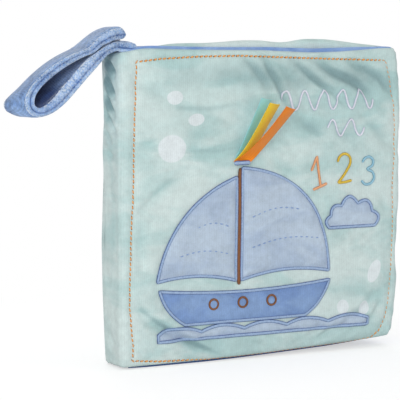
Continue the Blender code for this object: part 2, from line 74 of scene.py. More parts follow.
# Creases: half width in millimetres, depth as a share of crease_depth, which also sets the painted shade in
# the crease, and line
creases = (
    (2.3, 1.35, (100.5, 197), (103.5, 190), (109.1, 182.3), (114.5, 172), (121, 163)),
    (2.1, 1.2, (122, 197), (134.7, 186.1), (143.1, 180.3), (153, 174.5), (163, 166)),
    (2.4, 1.3, (138, 196.5), (152.3, 188), (161.7, 184.3), (171, 180), (184, 170)),
    (2.5, 1.0, (166, 195), (178, 190.5), (188.6, 184.7), (199.3, 172.8)),
    (2.4, 0.9, (86, 198.5), (92, 192.6), (99.4, 184.2), (106, 172)),
    (8, 0.45, (150, 195), (170, 186), (190, 168)),
    (8, 0.40, (112, 196), (124, 180), (134, 160)),
    (9, 0.35, (88, 192), (100, 170), (104, 150)),
    (4, 1.25, (123.2, 161.8), (129.9, 155.1), (145, 147.6)),
    (4, 1.3, (176.6, 158.8), (191.3, 145.5), (201, 138.6)),
    (3.6, 0.8, (104.9, 133.7), (118.5, 122), (132, 114)),
    (3.4, 1.0, (8, 182.7), (14.8, 180.7), (28.2, 175.6)),
    (6, 0.8, (40.5, 154.2), (62, 151.5), (80.5, 153.9)),
    (3, 0.7, (9.6, 143.4), (23.2, 145)),
    (2.8, 0.7, (40.7, 138.4), (58, 137.4), (78.6, 139.4)),
    (2.8, 0.6, (14.1, 107.8), (28, 117), (43.7, 123.4)),
    (2.8, 0.55, (5.5, 97.5), (15.6, 106.8), (26.1, 111.8)),
    (3, 1.5, (4, 40), (14.6, 29.3), (25.9, 23.7), (38.1, 17.2), (51.4, 9.7), (60.3, 5.3)),
    (3, 0.9, (52.8, 17.6), (72.3, 7.2)),
    (3.4, 1.2, (139.6, 7.5), (161.3, 16.6), (175.8, 25), (190.6, 38.8)),
    (3, 0.9, (128.5, 8.2), (137.2, 11.9), (147, 19)),
    (2.6, 0.9, (168, 11), (182, 19), (193, 31)),
    (3, 0.7, (190, 104), (197, 92)),
    (5, 0.8, (150, 150), (163, 146.5), (176, 150)),
    (3.4, 0.7, (12, 60), (9, 75), (12, 90)),
    (1.8, 1.3, (-19, 199), (-11, 196), (-3, 189.5)),
    (2, 1.6, (-19, 189), (-11.5, 184.5), (-3.5, 176)),
    (1.9, 1.5, (-18, 177), (-10.5, 172), (-3, 162.5)),
    (2, 1.2, (-17, 164.5), (-9, 160), (-1.5, 151.5)),
    (2, 0.8, (-16, 152), (-8, 147)),
    (2.2, 0.7, (-15, 140), (-5, 136.5)),
    (3, 0.4, (-12, 112), (-4, 109)),
    (3.2, 0.4, (-15, 62), (-9, 54)),
    (3, 0.6, (-13, 22), (-5, 13)),
    (2.1, 0.8, (8, 40), (22, 29.5), (37, 20), (52, 12), (68, 4.5)),
    (2.2, 0.6, (84, 12.5), (94, 9.5), (104, 6.5)),
    (2, 0.8, (138, 7.5), (146, 11), (154, 17)),
    (2.2, 0.7, (160, 8.5), (170, 15), (177, 22)),
    (2.4, 0.5, (182, 12), (188, 22), (191, 34)),
)

# Broad washes, darker or, where the strength is negative, paler: half width, strength and line. The paler
# ones are painted light; the ones on the spine's top are painted shadow under the strap, and the thin one
# along the lower fold is painted shade. The rest are broad tones of the print, and make the front darker
# towards its top.
print_and_painted_light_washes = (
    (16.5, 0.57, (34, 187), (80, 191), (150, 187), (196, 182)),
    (17, 0.36, (138, 150), (165, 140), (196, 128)),
    (11, 0.34, (70, 186), (98, 184), (128, 181)),
    (5.5, 0.34, (10, 157), (24, 155), (38, 157.5)),
    (14, 0.24, (20, 180), (40, 165), (60, 170)),
    (5, 0.34, (148, 44), (158, 38), (170, 36)),
    # Painted light: paler on the hinge edge, the spine's foot, the front's lower left and its foot
    (4.5, -0.40, (3.5, 196), (3, 100), (3.5, 20)),
    (10, -0.60, (-13, 62), (-10, 6)),
    (13, -0.42, (14, 60), (22, 34), (30, 10)),
    (7, -0.42, (60, 4), (120, 7), (165, 9.5)),
    (9, -0.42, (165, 9.5), (182, 14), (194, 24)),
    (3, 0.46, (36, 167.5), (58, 166), (80, 168.5)),
    (3.4, 0.42, (48, 140), (66, 138.5), (80, 140.5)),
    # Painted shade along the fold across the lower left
    (2.4, 0.62, (10, 39), (22, 29.5), (37, 20), (52, 12), (66, 5.5)),
    # Painted shadow of the strap on the spine's top, with painted shade in its creases
    (8.5, 0.94, (-12.5, 204), (-12.5, 186)),
    (8, 0.76, (-12.5, 186), (-12, 170)),
    (7, 0.40, (-12.5, 170), (-12, 152)),
    (2.8, 0.22, (-9, 150), (-7.5, 110), (-8, 60)),
)


def ramp(distance, over):
    """0 at no distance and below, then an even rise to 1 over this length."""
    return np.clip(distance / over, 0, 1)


def bell(distance, half_width):
    """1 at no distance, and softly less to both sides, down to a third at the half width."""
    return np.exp(-(distance / half_width) ** 2)


def rolled(inward, roll, rim):
    """How full a pad is at this distance in from its seam: the rim share at the seam, 1 past the roll."""
    return rim + (1 - rim) * np.sqrt(1 - (1 - ramp(inward, roll)) ** 2)


def along_table(table, place):
    """A size in metres read from pairs of millimetres, smoothly between them."""
    places, values = np.array(table).T / 1000
    fine = np.linspace(places[0], places[-1], 161)
    rough = np.interp(fine, places, values)
    kernel = np.hanning(13)
    smooth = np.convolve(np.pad(rough, 6, "edge"), kernel / kernel.sum(), "valid")
    return np.interp(place, fine, smooth)


def line_points(line, closed):
    points = np.array(line, float)
    return np.vstack([points, points[:1]]) if closed else points


def step_lengths(points):
    return np.hypot(*np.diff(points, axis=0).T)


def run_along(points):
    """How far along a line each of its points lies."""
    return np.concatenate([[0], np.cumsum(step_lengths(points))])


def distance_to_line(line, x, z, closed=False):
    """How far each place is from a line, and at what share of the line its nearest point lies."""
    points = line_points(line, closed)
    lengths = step_lengths(points)
    best, along = np.full(x.shape, 1e9), np.zeros(x.shape)
    for (px, pz), (dx, dz), length, start in zip(points, np.diff(points, axis=0), lengths, run_along(points)):
        share = np.clip(((x - px) * dx + (z - pz) * dz) / (length * length), 0, 1)
        away = np.hypot(x - px - share * dx, z - pz - share * dz)
        along = np.where(away < best, (start + share * length) / lengths.sum(), along)
        best = np.minimum(best, away)
    return best, along


def even_points(line, step, closed=True):
    """A line resampled at even steps."""
    points = line_points(line, closed)
    run = run_along(points)
    count = max(round(run[-1] / step), 3)
    places = np.linspace(0, run[-1], count + 1)[:count if closed else count + 1]
    return np.stack([np.interp(places, run, points[:, 0]), np.interp(places, run, points[:, 1])], 1)


def soft_noise(x, z, lump, seed):
    """Smooth seeded noise from -1 to 1 whose lumps are about this long."""
    lattice = np.random.default_rng(seed).uniform(-1, 1, (64, 64))
    u, v = x / lump + 20.37, z / lump + 20.71
    i, j = np.floor(u).astype(int), np.floor(v).astype(int)
    a, b = u - i, v - j
    a, b = a * a * (3 - 2 * a), b * b * (3 - 2 * b)
    i, j, i2, j2 = i % 64, j % 64, (i + 1) % 64, (j + 1) % 64
    low = lattice[i, j] * (1 - a) + lattice[i2, j] * a
    high = lattice[i, j2] * (1 - a) + lattice[i2, j2] * a
    return low * (1 - b) + high * b


def arc_edge(start, end, bulge, steps=24):
    """Points from start, short of end, along an arc that stands off its chord to the right."""
    (x0, z0), (x1, z1) = start, end
    t = np.arange(steps) / steps
    rise = 4 * bulge * t * (1 - t)
    return list(zip(x0 + (x1 - x0) * t + (z1 - z0) * rise, z0 + (z1 - z0) * t - (x1 - x0) * rise))


def bulged_outline(corners, bulges):
    outline = []
    for corner, after, bulge in zip(corners, corners[1:] + corners[:1], bulges):
        outline += arc_edge(corner, after, bulge)
    return outline


# The outlines of the sewn shapes, whose satin edges pull the velour in
mast_x = 0.0815
mast_gap = 0.0021
sail_foot, boom_rise = 0.053, 0.04
sail_width, sail_height = 0.066, 0.074
jib_width, jib_height = 0.058, 0.068
sail_edge, jib_edge = mast_x + mast_gap, mast_x - mast_gap
main_outline = bulged_outline([(sail_edge, sail_foot),
                               (sail_edge + sail_width, sail_foot + boom_rise * sail_width),
                               (sail_edge, sail_foot + sail_height)], (-0.06, 0.22, 0.0))
jib_outline = bulged_outline([(jib_edge, sail_foot), (jib_edge, sail_foot + jib_height),
                              (jib_edge - jib_width, sail_foot + boom_rise * jib_width)], (0.0, 0.14, -0.06))
deck, hull_depth, hull_length = sail_foot - 0.0038, 0.023, 0.127
bow = mast_x - hull_length / 2 + 0.22 * hull_depth
stern, keel, rake = bow + hull_length, deck - hull_depth, 0.8 * hull_depth
hull_outline = bulged_outline([(bow, deck), (bow + rake, keel), (stern - rake, keel), (stern, deck)],
                              (0.10, 0.0, 0.10, -0.03))
cloud_left, cloud_foot, cloud_width, cloud_height = 0.150, 0.084, 0.036, 0.020
puffs = ((0.0, 0.0), (1.0, 0.0), (0.94, 0.50), (0.62, 0.78), (0.26, 0.72), (0.04, 0.40))
cloud_corners = [(cloud_left + cloud_width * a, cloud_foot + cloud_height * b) for a, b in puffs]
cloud_outline = bulged_outline(cloud_corners, (0.0, 0.40, 0.36, 0.42, 0.34, 0.36))
sea_left, sea_foot, crest_foot = 0.0215, 0.0165, 0.021
crest_count, crest_pitch, crest_bulge = 5, 0.032, 0.10
crest_ends = [(sea_left + crest * crest_pitch, crest_foot) for crest in range(crest_count, -1, -1)]
sea_outline = [(sea_left, sea_foot), (crest_ends[0][0], sea_foot)]
for end, next_end in zip(crest_ends, crest_ends[1:]):
    sea_outline += arc_edge(end, next_end, crest_bulge)
sea_outline.append(crest_ends[-1])
sewn_outlines = [even_points(outline, 0.0025)
                 for outline in (main_outline, jib_outline, hull_outline, cloud_outline, sea_outline)]


def cover_relief(s, z):
    """How far the front velour stands off the cover's sewn middle, and the painted shade, painted light and
    print tone of each place.
    """
    to_top, to_foot = along_table(cover_top, s) - z, z - along_table(cover_foot, s)
    to_fore = along_table(cover_fore, z) - s
    # The wadding fills the pad, rolls over at its seams, and rises away from the border in soft lumps
    relief = spine_pad + (cover_pad - spine_pad) * ramp(s + 0.004, 0.008)
    relief = relief * rolled(to_top, 0.0050, 0.36) * rolled(to_foot, 0.0042, 0.42)
    relief *= rolled(to_fore, 0.0048, 0.22) * rolled(s - wrap_end, 0.0030, 0.90)
    soft = ramp(np.minimum(to_top, to_foot), seam_roll) * ramp(to_fore, seam_roll)
    border, place = distance_to_line(border_line, s * 1000, z * 1000, closed=True)
    inside = ramp(border - 1, 9) * soft
    relief += soft * 0.00075 * soft_noise(s, z, 0.042, 11) * inside + 0.0007 * inside
    relief += soft * (0.00038 * soft_noise(s, z, 0.017, 12) + 0.00012 * soft_noise(s, z * 0.6, 0.007, 13))

    # The border's thread sinks a channel and puckers the velour beside it, and painted shade lies in the
    # channel
    pucker = np.sin(place * 2 * math.pi * pucker_count + 3 * np.sin(place * 40))
    relief -= soft * (0.00095 * bell(border, 1.5) + 0.00016 * pucker * bell(border - 2.6, 2.4))
    shade = 0.16 * bell(border, 1.4)

    # A crease is a trough between two low welts, and fades out at both ends. Painted shade darkens its
    # trough.
    for half, deep, *line in creases:
        away, place = distance_to_line(line, s * 1000, z * 1000)
        taper = np.sin(math.pi * np.clip(0.06 + 0.88 * place, 0, 1)) ** 0.7
        taper *= bell(np.maximum(away - 4 * half, 0), 3)
        trough = bell(away, half) - 0.5 * bell(away - 2.1 * half, 1.3 * half)
        relief -= soft * taper * deep * crease_depth * trough
        shade += taper * deep * 0.50 * bell(away, 1.35 * half)
    for half, strength, *line in print_and_painted_light_washes:
        print_and_light_tone = strength * bell(distance_to_line(line, s * 1000, z * 1000)[0], half)
        shade = np.maximum(shade, print_and_light_tone + 0.6 * shade) if strength > 0 else shade + print_and_light_tone
    for outline in sewn_outlines:
        relief -= soft * 0.0007 * bell(distance_to_line(outline, s, z, closed=True)[0], 0.0026)
    return relief, np.clip(shade, -0.5, 1)


def wrap_path(s):
    """The sewn middle line of the cover and spine seen from above: its places and its outward directions."""
    bend = np.clip((s - bend_start) / bend_radius, 0, math.pi / 2)
    x = np.where(s > bend_end, s, bend_end - bend_radius * np.cos(bend))
    y = hinge_y + bend_radius * (1 - np.sin(bend)) - np.minimum(s - bend_start, 0)
    return x, np.where(s > bend_end, hinge_y, y), -np.cos(bend), -np.sin(bend)


def new_piece(name, add, **settings):
    """Adds a primitive, which is then all that is selected, and names it."""
    bpy.ops.object.select_all(action="DESELECT")
    add(**settings)
    obj = bpy.context.object
    obj.name = obj.data.name = name
    return obj


def coordinates(obj):
    flat = np.empty(len(obj.data.vertices) * 3)
    obj.data.vertices.foreach_get("co", flat)
    return flat.reshape(-1, 3)


def place_vertices(obj, x, y, z):
    obj.data.vertices.foreach_set("co", np.stack([x, y, z], 1).ravel())
    obj.data.update()


def paint(obj, name, values):
    """Stores a number per vertex that a material reads."""
    layer = obj.data.attributes.new(name, "FLOAT", "POINT")
    layer.data.foreach_set("value", np.asarray(values, np.float32))


def rounded_corners(x, z, right, low, high, radius):
    """Moves the places of a pad's two fore corners in, so that its outline turns there on a radius."""
    for end, way in ((low, -1), (high, 1)):
        a, b = ramp(x - (right - radius), radius), ramp(way * (z - end) + radius, radius)
        both = (a > 0) & (b > 0)
        scale = np.where(both, np.maximum(a, b) / np.maximum(np.hypot(a, b), 1e-9), 1)
        x = x + radius * a * (scale - 1) * both
        z = z + radius * b * (scale - 1) * both * way
    return x, z


def flat_pad(name, columns, rows):
    """A closed flat pad to be shaped: a grid extruded once. Gives each vertex's column, row and layer too."""
    obj = new_piece(name, bpy.ops.mesh.primitive_grid_add, x_subdivisions=columns, y_subdivisions=rows,
                    size=2)
    bpy.ops.object.mode_set(mode="EDIT")
    bpy.ops.mesh.extrude_region_move(TRANSFORM_OT_translate={"value": (0, 0, 1)})
    bpy.ops.object.mode_set(mode="OBJECT")
    co = coordinates(obj)
    column = np.rint((co[:, 0] + 1) / 2 * columns).astype(int)
    row = np.rint((co[:, 1] + 1) / 2 * rows).astype(int)
    return obj, column, row, co[:, 2] > 0.5


def finish_mesh(obj, material, angle=70):
    """Turns the faces outwards, shades them smoothly and gives them their material."""
    bpy.ops.object.select_all(action="DESELECT")
    obj.select_set(True)
    bpy.context.view_layer.objects.active = obj
    bpy.ops.object.mode_set(mode="EDIT")
    bpy.ops.mesh.select_all(action="SELECT")
    bpy.ops.mesh.normals_make_consistent(inside=False)
    bpy.ops.object.mode_set(mode="OBJECT")
    bpy.ops.object.shade_smooth_by_angle(angle=math.radians(angle))
    obj.data.materials.append(material)


def linear(colour):
    """An sRGB hex colour as linear RGBA."""
    parts = [int(colour[i:i + 2], 16) / 255 for i in (1, 3, 5)]
    return (*[c / 12.92 if c <= 0.04045 else ((c + 0.055) / 1.055) ** 2.4 for c in parts], 1.0)


def set_inputs(node, inputs):
    """Sets a node's inputs, or links them where the value is a socket or a node."""
    for key, value in inputs.items() if isinstance(inputs, dict) else enumerate(inputs):
        if isinstance(value, bpy.types.Node):
            value = next(socket for socket in value.outputs if socket.enabled)
        if isinstance(value, bpy.types.NodeSocket):
            node.id_data.links.new(value, node.inputs[key])
        else:
            node.inputs[key].default_value = value


def add_node(tree, kind, inputs=(), **settings):
    """Adds a node with its properties and inputs."""
    made = tree.nodes.new("ShaderNode" + kind)
    for key, value in settings.items():
        setattr(made, key, value)
    set_inputs(made, inputs)
    return made


def new_material(name, roughness, sheen=0.0, sheen_roughness=0.5, specular=0.5):
    material = bpy.data.materials.new(name)
    material.use_nodes = True
    shader = material.node_tree.nodes["Principled BSDF"]
    set_inputs(shader, {"Roughness": roughness, "Sheen Weight": sheen, "Sheen Roughness": sheen_roughness,
                        "Specular IOR Level": specular})
    return material, material.node_tree, shader


def velour(name, pale, deep, crease_shade, dots=(), rib=0.0014, streak=18.0, streak_share=0.8, grain=0.13):
    """Short brushed polyester velour on a ribbed ground: a soft matt nap, pale where it is stroked one way
    and deep where it is stroked the other.
    Painted shade read from an attribute deepens it too, and turns it to the crease shade colour in creases
    and hollows; on the cover that attribute also carries painted light and the print's washes. Dots are
    printed on it in a greyish white."""
    # Real fibres are 0.02 mm thick. They are drawn as clumps of 0.9 mm in tufts of 4 mm, so that the nap
    # shows. The clouds are the hand's marks in it, about 16 mm across. All three are counts to a metre.
    clumps, tufts, clouds = 1150.0, 260.0, 62.0
    wave_length = 0.314  # of the wave texture at a scale of 1
    material, tree, shader = new_material(name, 0.92, sheen=0.22, sheen_roughness=0.45, specular=0.15)
    place = add_node(tree, "TexCoord").outputs["Object"]
    stretched = add_node(tree, "Mapping", {0: place, 3: (1.0, 1.0, 2.3)})
    stroke = add_node(tree, "TexNoise", {"Vector": stretched, "Scale": streak, "Detail": 4.0,
                                         "Roughness": 0.55, "Distortion": 0.6})
    stroked = add_node(tree, "MapRange", [stroke, 0.40, 0.64, 0.0, streak_share],
                       interpolation_type="SMOOTHSTEP")
    # Painted shade: the attribute deepens the colour, and past 0.4 turns it towards the crease shade colour
    painted_shade_and_print = add_node(tree, "Attribute", attribute_name="painted_shade_and_print").outputs["Fac"]
    shaded_share = add_node(tree, "Math", [painted_shade_and_print, 0.9], operation="MULTIPLY")
    share = add_node(tree, "Math", [stroked, shaded_share], operation="ADD", use_clamp=True)
    base = add_node(tree, "Mix", {0: share, 6: linear(pale), 7: linear(deep)}, data_type="RGBA")
    crease_shade_share = add_node(tree, "MapRange", [painted_shade_and_print, 0.40, 1.0, 0.0, 0.8], interpolation_type="SMOOTHSTEP")
    colour = add_node(tree, "Mix", {0: crease_shade_share, 6: base, 7: linear(crease_shade)}, data_type="RGBA")
    covered = None
    for x, z, across, up, turn in dots:
        cosine, sine = math.cos(math.radians(turn)), math.sin(math.radians(turn))
        shift = (-(x * cosine + z * sine) / 1000, 0.0, -(z * cosine - x * sine) / 1000)
        turned = add_node(tree, "Mapping", [place, shift, (0.0, math.radians(turn), 0.0)])
        sized = add_node(tree, "Mapping", {0: turned, 3: (1000 / across, 0.0, 1000 / up)})
        away = add_node(tree, "VectorMath", [sized], operation="LENGTH")
        dot = add_node(tree, "MapRange", [away, 0.93, 1.06, 1.0, 0.0], interpolation_type="SMOOTHSTEP")
        covered = add_node(tree, "Math", [covered, dot], operation="MAXIMUM") if covered else dot
    if covered:
        printed = add_node(tree, "Math", [covered, 0.85], operation="MULTIPLY")
        colour = add_node(tree, "Mix", {0: printed, 6: colour, 7: linear("#DAE1E4")}, data_type="RGBA")
    nap = add_node(tree, "TexNoise", {"Vector": place, "Scale": clumps, "Detail": 3.0, "Roughness": 0.75})
    light = nap
    for scale in (tufts, clouds):
        coarser = add_node(tree, "TexNoise", {"Vector": place, "Scale": scale, "Detail": 3.0,
                                              "Roughness": 0.6})
        light = add_node(tree, "Math", [light, coarser], operation="ADD")
    ribs = add_node(tree, "TexWave", {"Vector": place, "Scale": wave_length / rib, "Distortion": 1.2,
                                      "Detail": 2.0, "Detail Scale": 0.4}, bands_direction="X")
    faint = add_node(tree, "Math", [ribs.outputs["Fac"], 0.22], operation="MULTIPLY")
    light = add_node(tree, "Math", [light, faint], operation="ADD")
    value = add_node(tree, "MapRange", [light, 1.15, 2.15, 1.0 - grain, 1.0 + grain])
    tinted = add_node(tree, "HueSaturation", {"Color": colour, "Value": value})
    height = add_node(tree, "Math", [nap, faint], operation="ADD")
    bump = add_node(tree, "Bump", {"Strength": 0.55, "Distance": 0.00022, "Height": height})
    set_inputs(shader, {"Base Color": tinted, "Normal": bump})
    return material


# Printed dots: middle, half width, half height and turn, in millimetres and degrees
printed_dots = ((34.4, 173.9, 5.7, 4.5, 6), (49.9, 159.3, 5.9, 4.0, 4), (32.0, 141.3, 10.1, 8.9, 0),
                (185.6, 52.6, 4.6, 8.2, -24), (161.2, 29.6, 4.5, 5.0, 0), (178.4, 28.0, 3.7, 4.8, -12))
mint_velour = velour("mint_velour", "#CAD9D7", "#ABC8C7", "#7B979B", dots=printed_dots)
# The pages' plain mint velour is paler than the cover's: painted light for their tops, which get little of
# the lamps' light
plain_mint_velour_lightened = velour("plain_mint_velour_lightened", "#D0DEDC", "#B6D2D0", "#93B4B4")
blue_velour = velour("blue_velour", "#8CA7D3", "#6F8FC6", "#2F4676", rib=0.0011, streak=30.0, grain=0.16)


def in_stretches(ends, counts):
    """Places from the first end to the last, evenly spaced within each stretch."""
    parts = [np.linspace(a, b, count, endpoint=False) for a, b, count in zip(ends, ends[1:], counts)]
    return np.append(np.concatenate(parts), ends[-1])


stretched_from, cover_width = 0.15, 0.2035  # past the first, the velour's columns follow the fore edge
columns_s = in_stretches((wrap_end, bend_start, bend_end, 0.198, cover_width), (18, 8, 149, 8))
rows_t = in_stretches((0, 0.03, 0.97, 1), (8, 141, 8))
cover, column, row, inner = flat_pad("cover_and_spine_velour", len(columns_s) - 1, len(rows_t) - 1)
s, t = columns_s[column], rows_t[row]
low, high = along_table(cover_foot, s), along_table(cover_top, s)
z = low + (high - low) * t
reach = along_table(cover_fore, z)
stretch = (reach - stretched_from) / (cover_width - stretched_from)
s = np.where(s > stretched_from, stretched_from + (s - stretched_from) * stretch, s)
relief, shade = cover_relief(s, z)
x, y, out_x, out_y = wrap_path(s)
off = np.where(inner, -0.0001, relief)
wave = 0.0013 * soft_noise(z, 0.0, 0.018, 14) + 0.0004 * soft_noise(z, 0.0, 0.005, 15)
x = x + wave * ramp(s - reach + 0.010, 0.010) ** 2
x, z = rounded_corners(x, z, reach, low, high, 0.0042)
place_vertices(cover, x + out_x * off, y + out_y * off, z)
# The material reads painted shade, painted light and the print's washes from this attribute
paint(cover, "painted_shade_and_print", shade)
finish_mesh(cover, mint_velour)
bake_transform(cover)
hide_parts("front_cover_plush", "front_cover_wadding", "front_cover_crinkle_film",
            "front_cover_binding", "spine_plush", "spine_wadding")

# Leaves. Each is a pillow of two velour squares, mint outside and blue inside, with wadding and a crackling
# film between them. The halves are sewn at the rim, turned, and caught in the spine's seam, where they bend.
# Their tops and feet are pairs of millimetres, as the cover's are.
lining_top = ((-5, 203.8), (4, 204.4), (9, 205.8), (14, 206.6), (38, 206.5), (70, 205.9), (103, 205.5),
              (138, 204.2), (162, 204), (185, 204.3), (197, 204.6), (206, 203))
lining_foot = ((-5, 0.6), (17, 0), (57, 0), (79, 0.4), (100, 1), (122, 1.8), (152, 3), (176, 4.7), (190, 6.9),
               (206, 10))
page_top = ((-5, 200.6), (6, 200.8), (11, 200.8), (15, 201.8), (20, 205.6), (38, 207.8), (60, 208),
            (74, 209.2), (88, 210.2), (104, 210), (117, 208.4), (124, 208.4), (136, 210.2), (154, 210),
            (168, 208.6), (180, 206.8), (192, 205.2), (206, 203.5))
page_back_top = tuple((place, height - 1.4) for place, height in page_top)
page_foot = ((-5, 0.8), (20, 0), (60, 0), (100, 0.6), (150, 2.2), (183, 3.6), (206, 5.8))
back_top = ((-5, 203.2), (6, 203.4), (12, 204.8), (22, 206.2), (80, 205.4), (130, 205), (180, 205.6),
            (206, 204.4))
back_foot = ((-5, 0.6), (20, 0), (60, 0), (120, 0.3), (183, 1.4), (206, 2.6))
page_y = 0.00425  # the middle of each page, to the front or the back of the spine's
back_y = 0.0127


def leaf_half(name, start_x, fore, middle_y, side, fullness, top, foot, seed, material, forward=0.0,
              foot_shade=0.0):
    """One velour half of a padded leaf, on the side of -Y or +Y, with puckers along its seams."""
    count = 84
    obj, column, row, inner = flat_pad(name, count, count)
    even = np.linspace(0, 1, count + 1)
    places = 0.55 * even + 0.45 * (0.5 - 0.5 * np.cos(math.pi * even))  # closer at the seams
    x = start_x + (fore - start_x) * places[column]
    low, high = along_table(foot, x), along_table(top, x)
    z = low + (high - low) * places[row]
    edge = np.minimum(np.minimum(fore - x, x - start_x), np.minimum(z - low, high - z))
    full = rolled(fore - x, 0.0050, 0.10) * rolled(z - low, 0.0045, 0.12) * rolled(high - z, 0.0050, 0.12)
    relief = fullness * full * rolled(x - start_x, 0.0060, 0.16)
    lumps = soft_noise(x, z, 0.014, seed + 1)
    relief += ramp(edge, 0.006) * (0.00035 * soft_noise(x, z, 0.038, seed) + 0.00022 * lumps)
    band = bell(edge, 0.007) * ramp(edge, 0.0015)
    ripple = soft_noise(x, z, 0.0065, seed + 2)
    relief = np.minimum(relief + 0.00028 * band * ripple, fullness + 0.00012)
    # Painted shade in the troughs of the ripples and lumps, and along the foot as far as foot_shade asks
    shade = np.clip(-ripple * band * 0.5 - 0.35 * lumps - 0.1, 0, 1)
    shade = np.maximum(shade, foot_shade * bell(z - low, 0.004))
    wave = 0.0007 * soft_noise(x, 0.0, 0.030, seed + 3) * ramp(places[row] - 0.7, 0.3)
    x, z = rounded_corners(x, z, fore, low, high, 0.0046)
    y = middle_y + np.where(inner, forward * bell(high - z, 0.006) - side * 0.00012, side * relief)
    place_vertices(obj, x, y, z + wave)
    paint(obj, "painted_shade_and_print", shade)
    finish_mesh(obj, material)
    return obj


cover_lining = leaf_half("front_cover_lining_velour", 0.0030, 0.2036, hinge_y + 0.0003, 1, 0.0040, lining_top,
                         lining_foot, 21, blue_velour, forward=-0.0016, foot_shade=1.0)
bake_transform(cover_lining)
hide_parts("front_cover_lining")

page_kinds = (
    ("page_1_front_velour", -page_y, -1, page_top, 31, plain_mint_velour_lightened, "page_1", "mint_plush",
     ("page_1_front_plush", "page_1_wadding", "page_1_crinkle_film", "page_1_binding")),
    ("page_1_back_velour", -page_y, 1, page_back_top, 35, blue_velour, "page_1", "blue_plush",
     ("page_1_back_plush",)),
    ("page_2_front_velour", page_y, -1, back_top, 41, blue_velour, "page_2", "blue_plush",
     ("page_2_front_plush",)),
    ("page_2_back_velour", page_y, 1, back_top, 45, plain_mint_velour_lightened, "page_2", "mint_plush",
     ("page_2_back_plush", "page_2_wadding", "page_2_crinkle_film", "page_2_binding")),
)
page_start, page_fore, bend_end_x = 0.0032, 0.2022, 0.0120
for name, middle_y, side, top, seed, material, body, slot, nodes in page_kinds:
    half = leaf_half(name, page_start, page_fore, middle_y, side, 0.0039, top, page_foot, seed, material)
    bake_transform(half)
    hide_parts(*nodes)

back_lining = leaf_half("back_cover_lining_velour", 0.0030, 0.2030, back_y, -1, 0.0039, back_top, back_foot,
                        51, blue_velour)
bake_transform(back_lining)
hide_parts("back_cover_lining", "back_cover_wadding", "back_cover_crinkle_film")

# The back cover's outer half is drawn round the corner of the spine and follows the curve of its edge
back = leaf_half("back_cover_velour", -0.0030, 0.2030, back_y, 1, 0.0041, back_top, back_foot, 55,
                 mint_velour)
spine_edge = ((0, -1), (14, -1.8), (47, -3.1), (80, -3.6), (106, -2.7), (132, -1.7), (151, -1.1),
              (171, -1.9), (197, -2.8), (206, -2.4))
x, y, z = coordinates(back).T
drawn = ramp(0.0035 - x, 0.0065) ** 2 * np.where(y < back_y + 0.0001, 0.0048, 0.0012)
inset = along_table(spine_edge, z) + 0.0026
place_vertices(back, x + inset * ramp(0.012 - x, 0.012), y - drawn, z)
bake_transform(back)
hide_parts("back_cover_plush", "back_cover_binding")

# Spine lining: a narrow pad of blue velour, sewn down both sides, that covers the seam allowances between the
# leaves where the book opens.
lining_half, foot, tall = 0.0104, 0.0012, 0.2028
columns, rows = 14, 90
spine_lining, column, row, inner = flat_pad("spine_lining_velour", columns, rows)
y = lining_half * (2 * column / columns - 1)
z = foot + tall * row / rows
full = rolled(lining_half - np.abs(y), 0.003, 0.2) * rolled(np.minimum(z - foot, foot + tall - z), 0.003, 0.2)
place_vertices(spine_lining, np.where(inner, 0.0004, 0.0006 + 0.0021 * full), y, z)
paint(spine_lining, "painted_shade_and_print", 0 * y)
finish_mesh(spine_lining, blue_velour)
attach(spine_lining, "spine")
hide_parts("spine_lining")


# Border: thick orange-brown cotton thread in one running stitch through the whole cover, pulled tight enough
# to pucker it. Each stitch is a short raised lump whose ends go down into holes.
def cover_surface(x, z):
    """Where the velour's face lies in y, at places on the front cover."""
    return hinge_y - cover_relief(np.asarray(x, float), np.asarray(z, float))[0]


stitch_pitch = 0.0033
half_long, half_wide, half_high = 0.00157, 0.00064, 0.00050
slant = 0.16
apart = 10.0  # the lumps stand this far apart until each is put in its place
stitch_places = even_points(np.array(border_line) / 1000, stitch_pitch)
stitches = new_piece("border_running_stitch", bpy.ops.mesh.primitive_uv_sphere_add, segments=8, ring_count=6,
                     radius=1)
lump_size = len(stitches.data.vertices)
repeat = stitches.modifiers.new("repeat", "ARRAY")
repeat.count = len(stitch_places)
repeat.use_relative_offset = False
repeat.use_constant_offset = True
repeat.constant_offset_displace = (apart, 0, 0)
bpy.ops.object.modifier_apply(modifier="repeat")
which = np.arange(len(stitches.data.vertices)) // lump_size
unit = coordinates(stitches) - np.outer(which * apart, (1, 0, 0))
# The thread is pulled tighter along the fore edge and the foot, and sinks in there
stitch_x, stitch_z = stitch_places.T
in_foot = ramp(0.010 - stitch_z, 0.004) * ramp(stitch_x - 0.040, 0.030)
tight = np.maximum(ramp(stitch_x - 0.185, 0.010), in_foot)[which]
thin = 0.22 * ramp(0.014 - stitch_x, 0.004)[which] + 0.58 * tight + 0.16 * in_foot[which]
ahead = np.roll(stitch_places, -1, 0) - np.roll(stitch_places, 1, 0)
ahead_x, ahead_z = (ahead / np.hypot(*ahead.T)[:, None])[which].T
run = unit[:, 2] * half_long
wide = unit[:, 0] * half_wide * (1 - thin) + slant * run
x = stitch_x[which] + ahead_x * run - ahead_z * wide
z = stitch_z[which] + ahead_z * run + ahead_x * wide
sunk = 0.0002 - 0.0005 * np.abs(unit[:, 2]) ** 3 - 0.00020 * tight
place_vertices(stitches, x, cover_surface(x, z) - sunk - unit[:, 1] * half_high, z)
paint(stitches, "along", unit[:, 2])


def two_tone(tree, share, colour, deep, height, strength, distance):
    """Ends a cloth's material: its colour turns deep by a share, and its weave or nap stands this high."""
    base = add_node(tree, "Mix", {0: share, 6: linear(colour), 7: linear(deep)}, data_type="RGBA")
    bump = add_node(tree, "Bump", {"Strength": strength, "Distance": distance, "Height": height})
    set_inputs(tree.nodes["Principled BSDF"], {"Base Color": base, "Normal": bump})


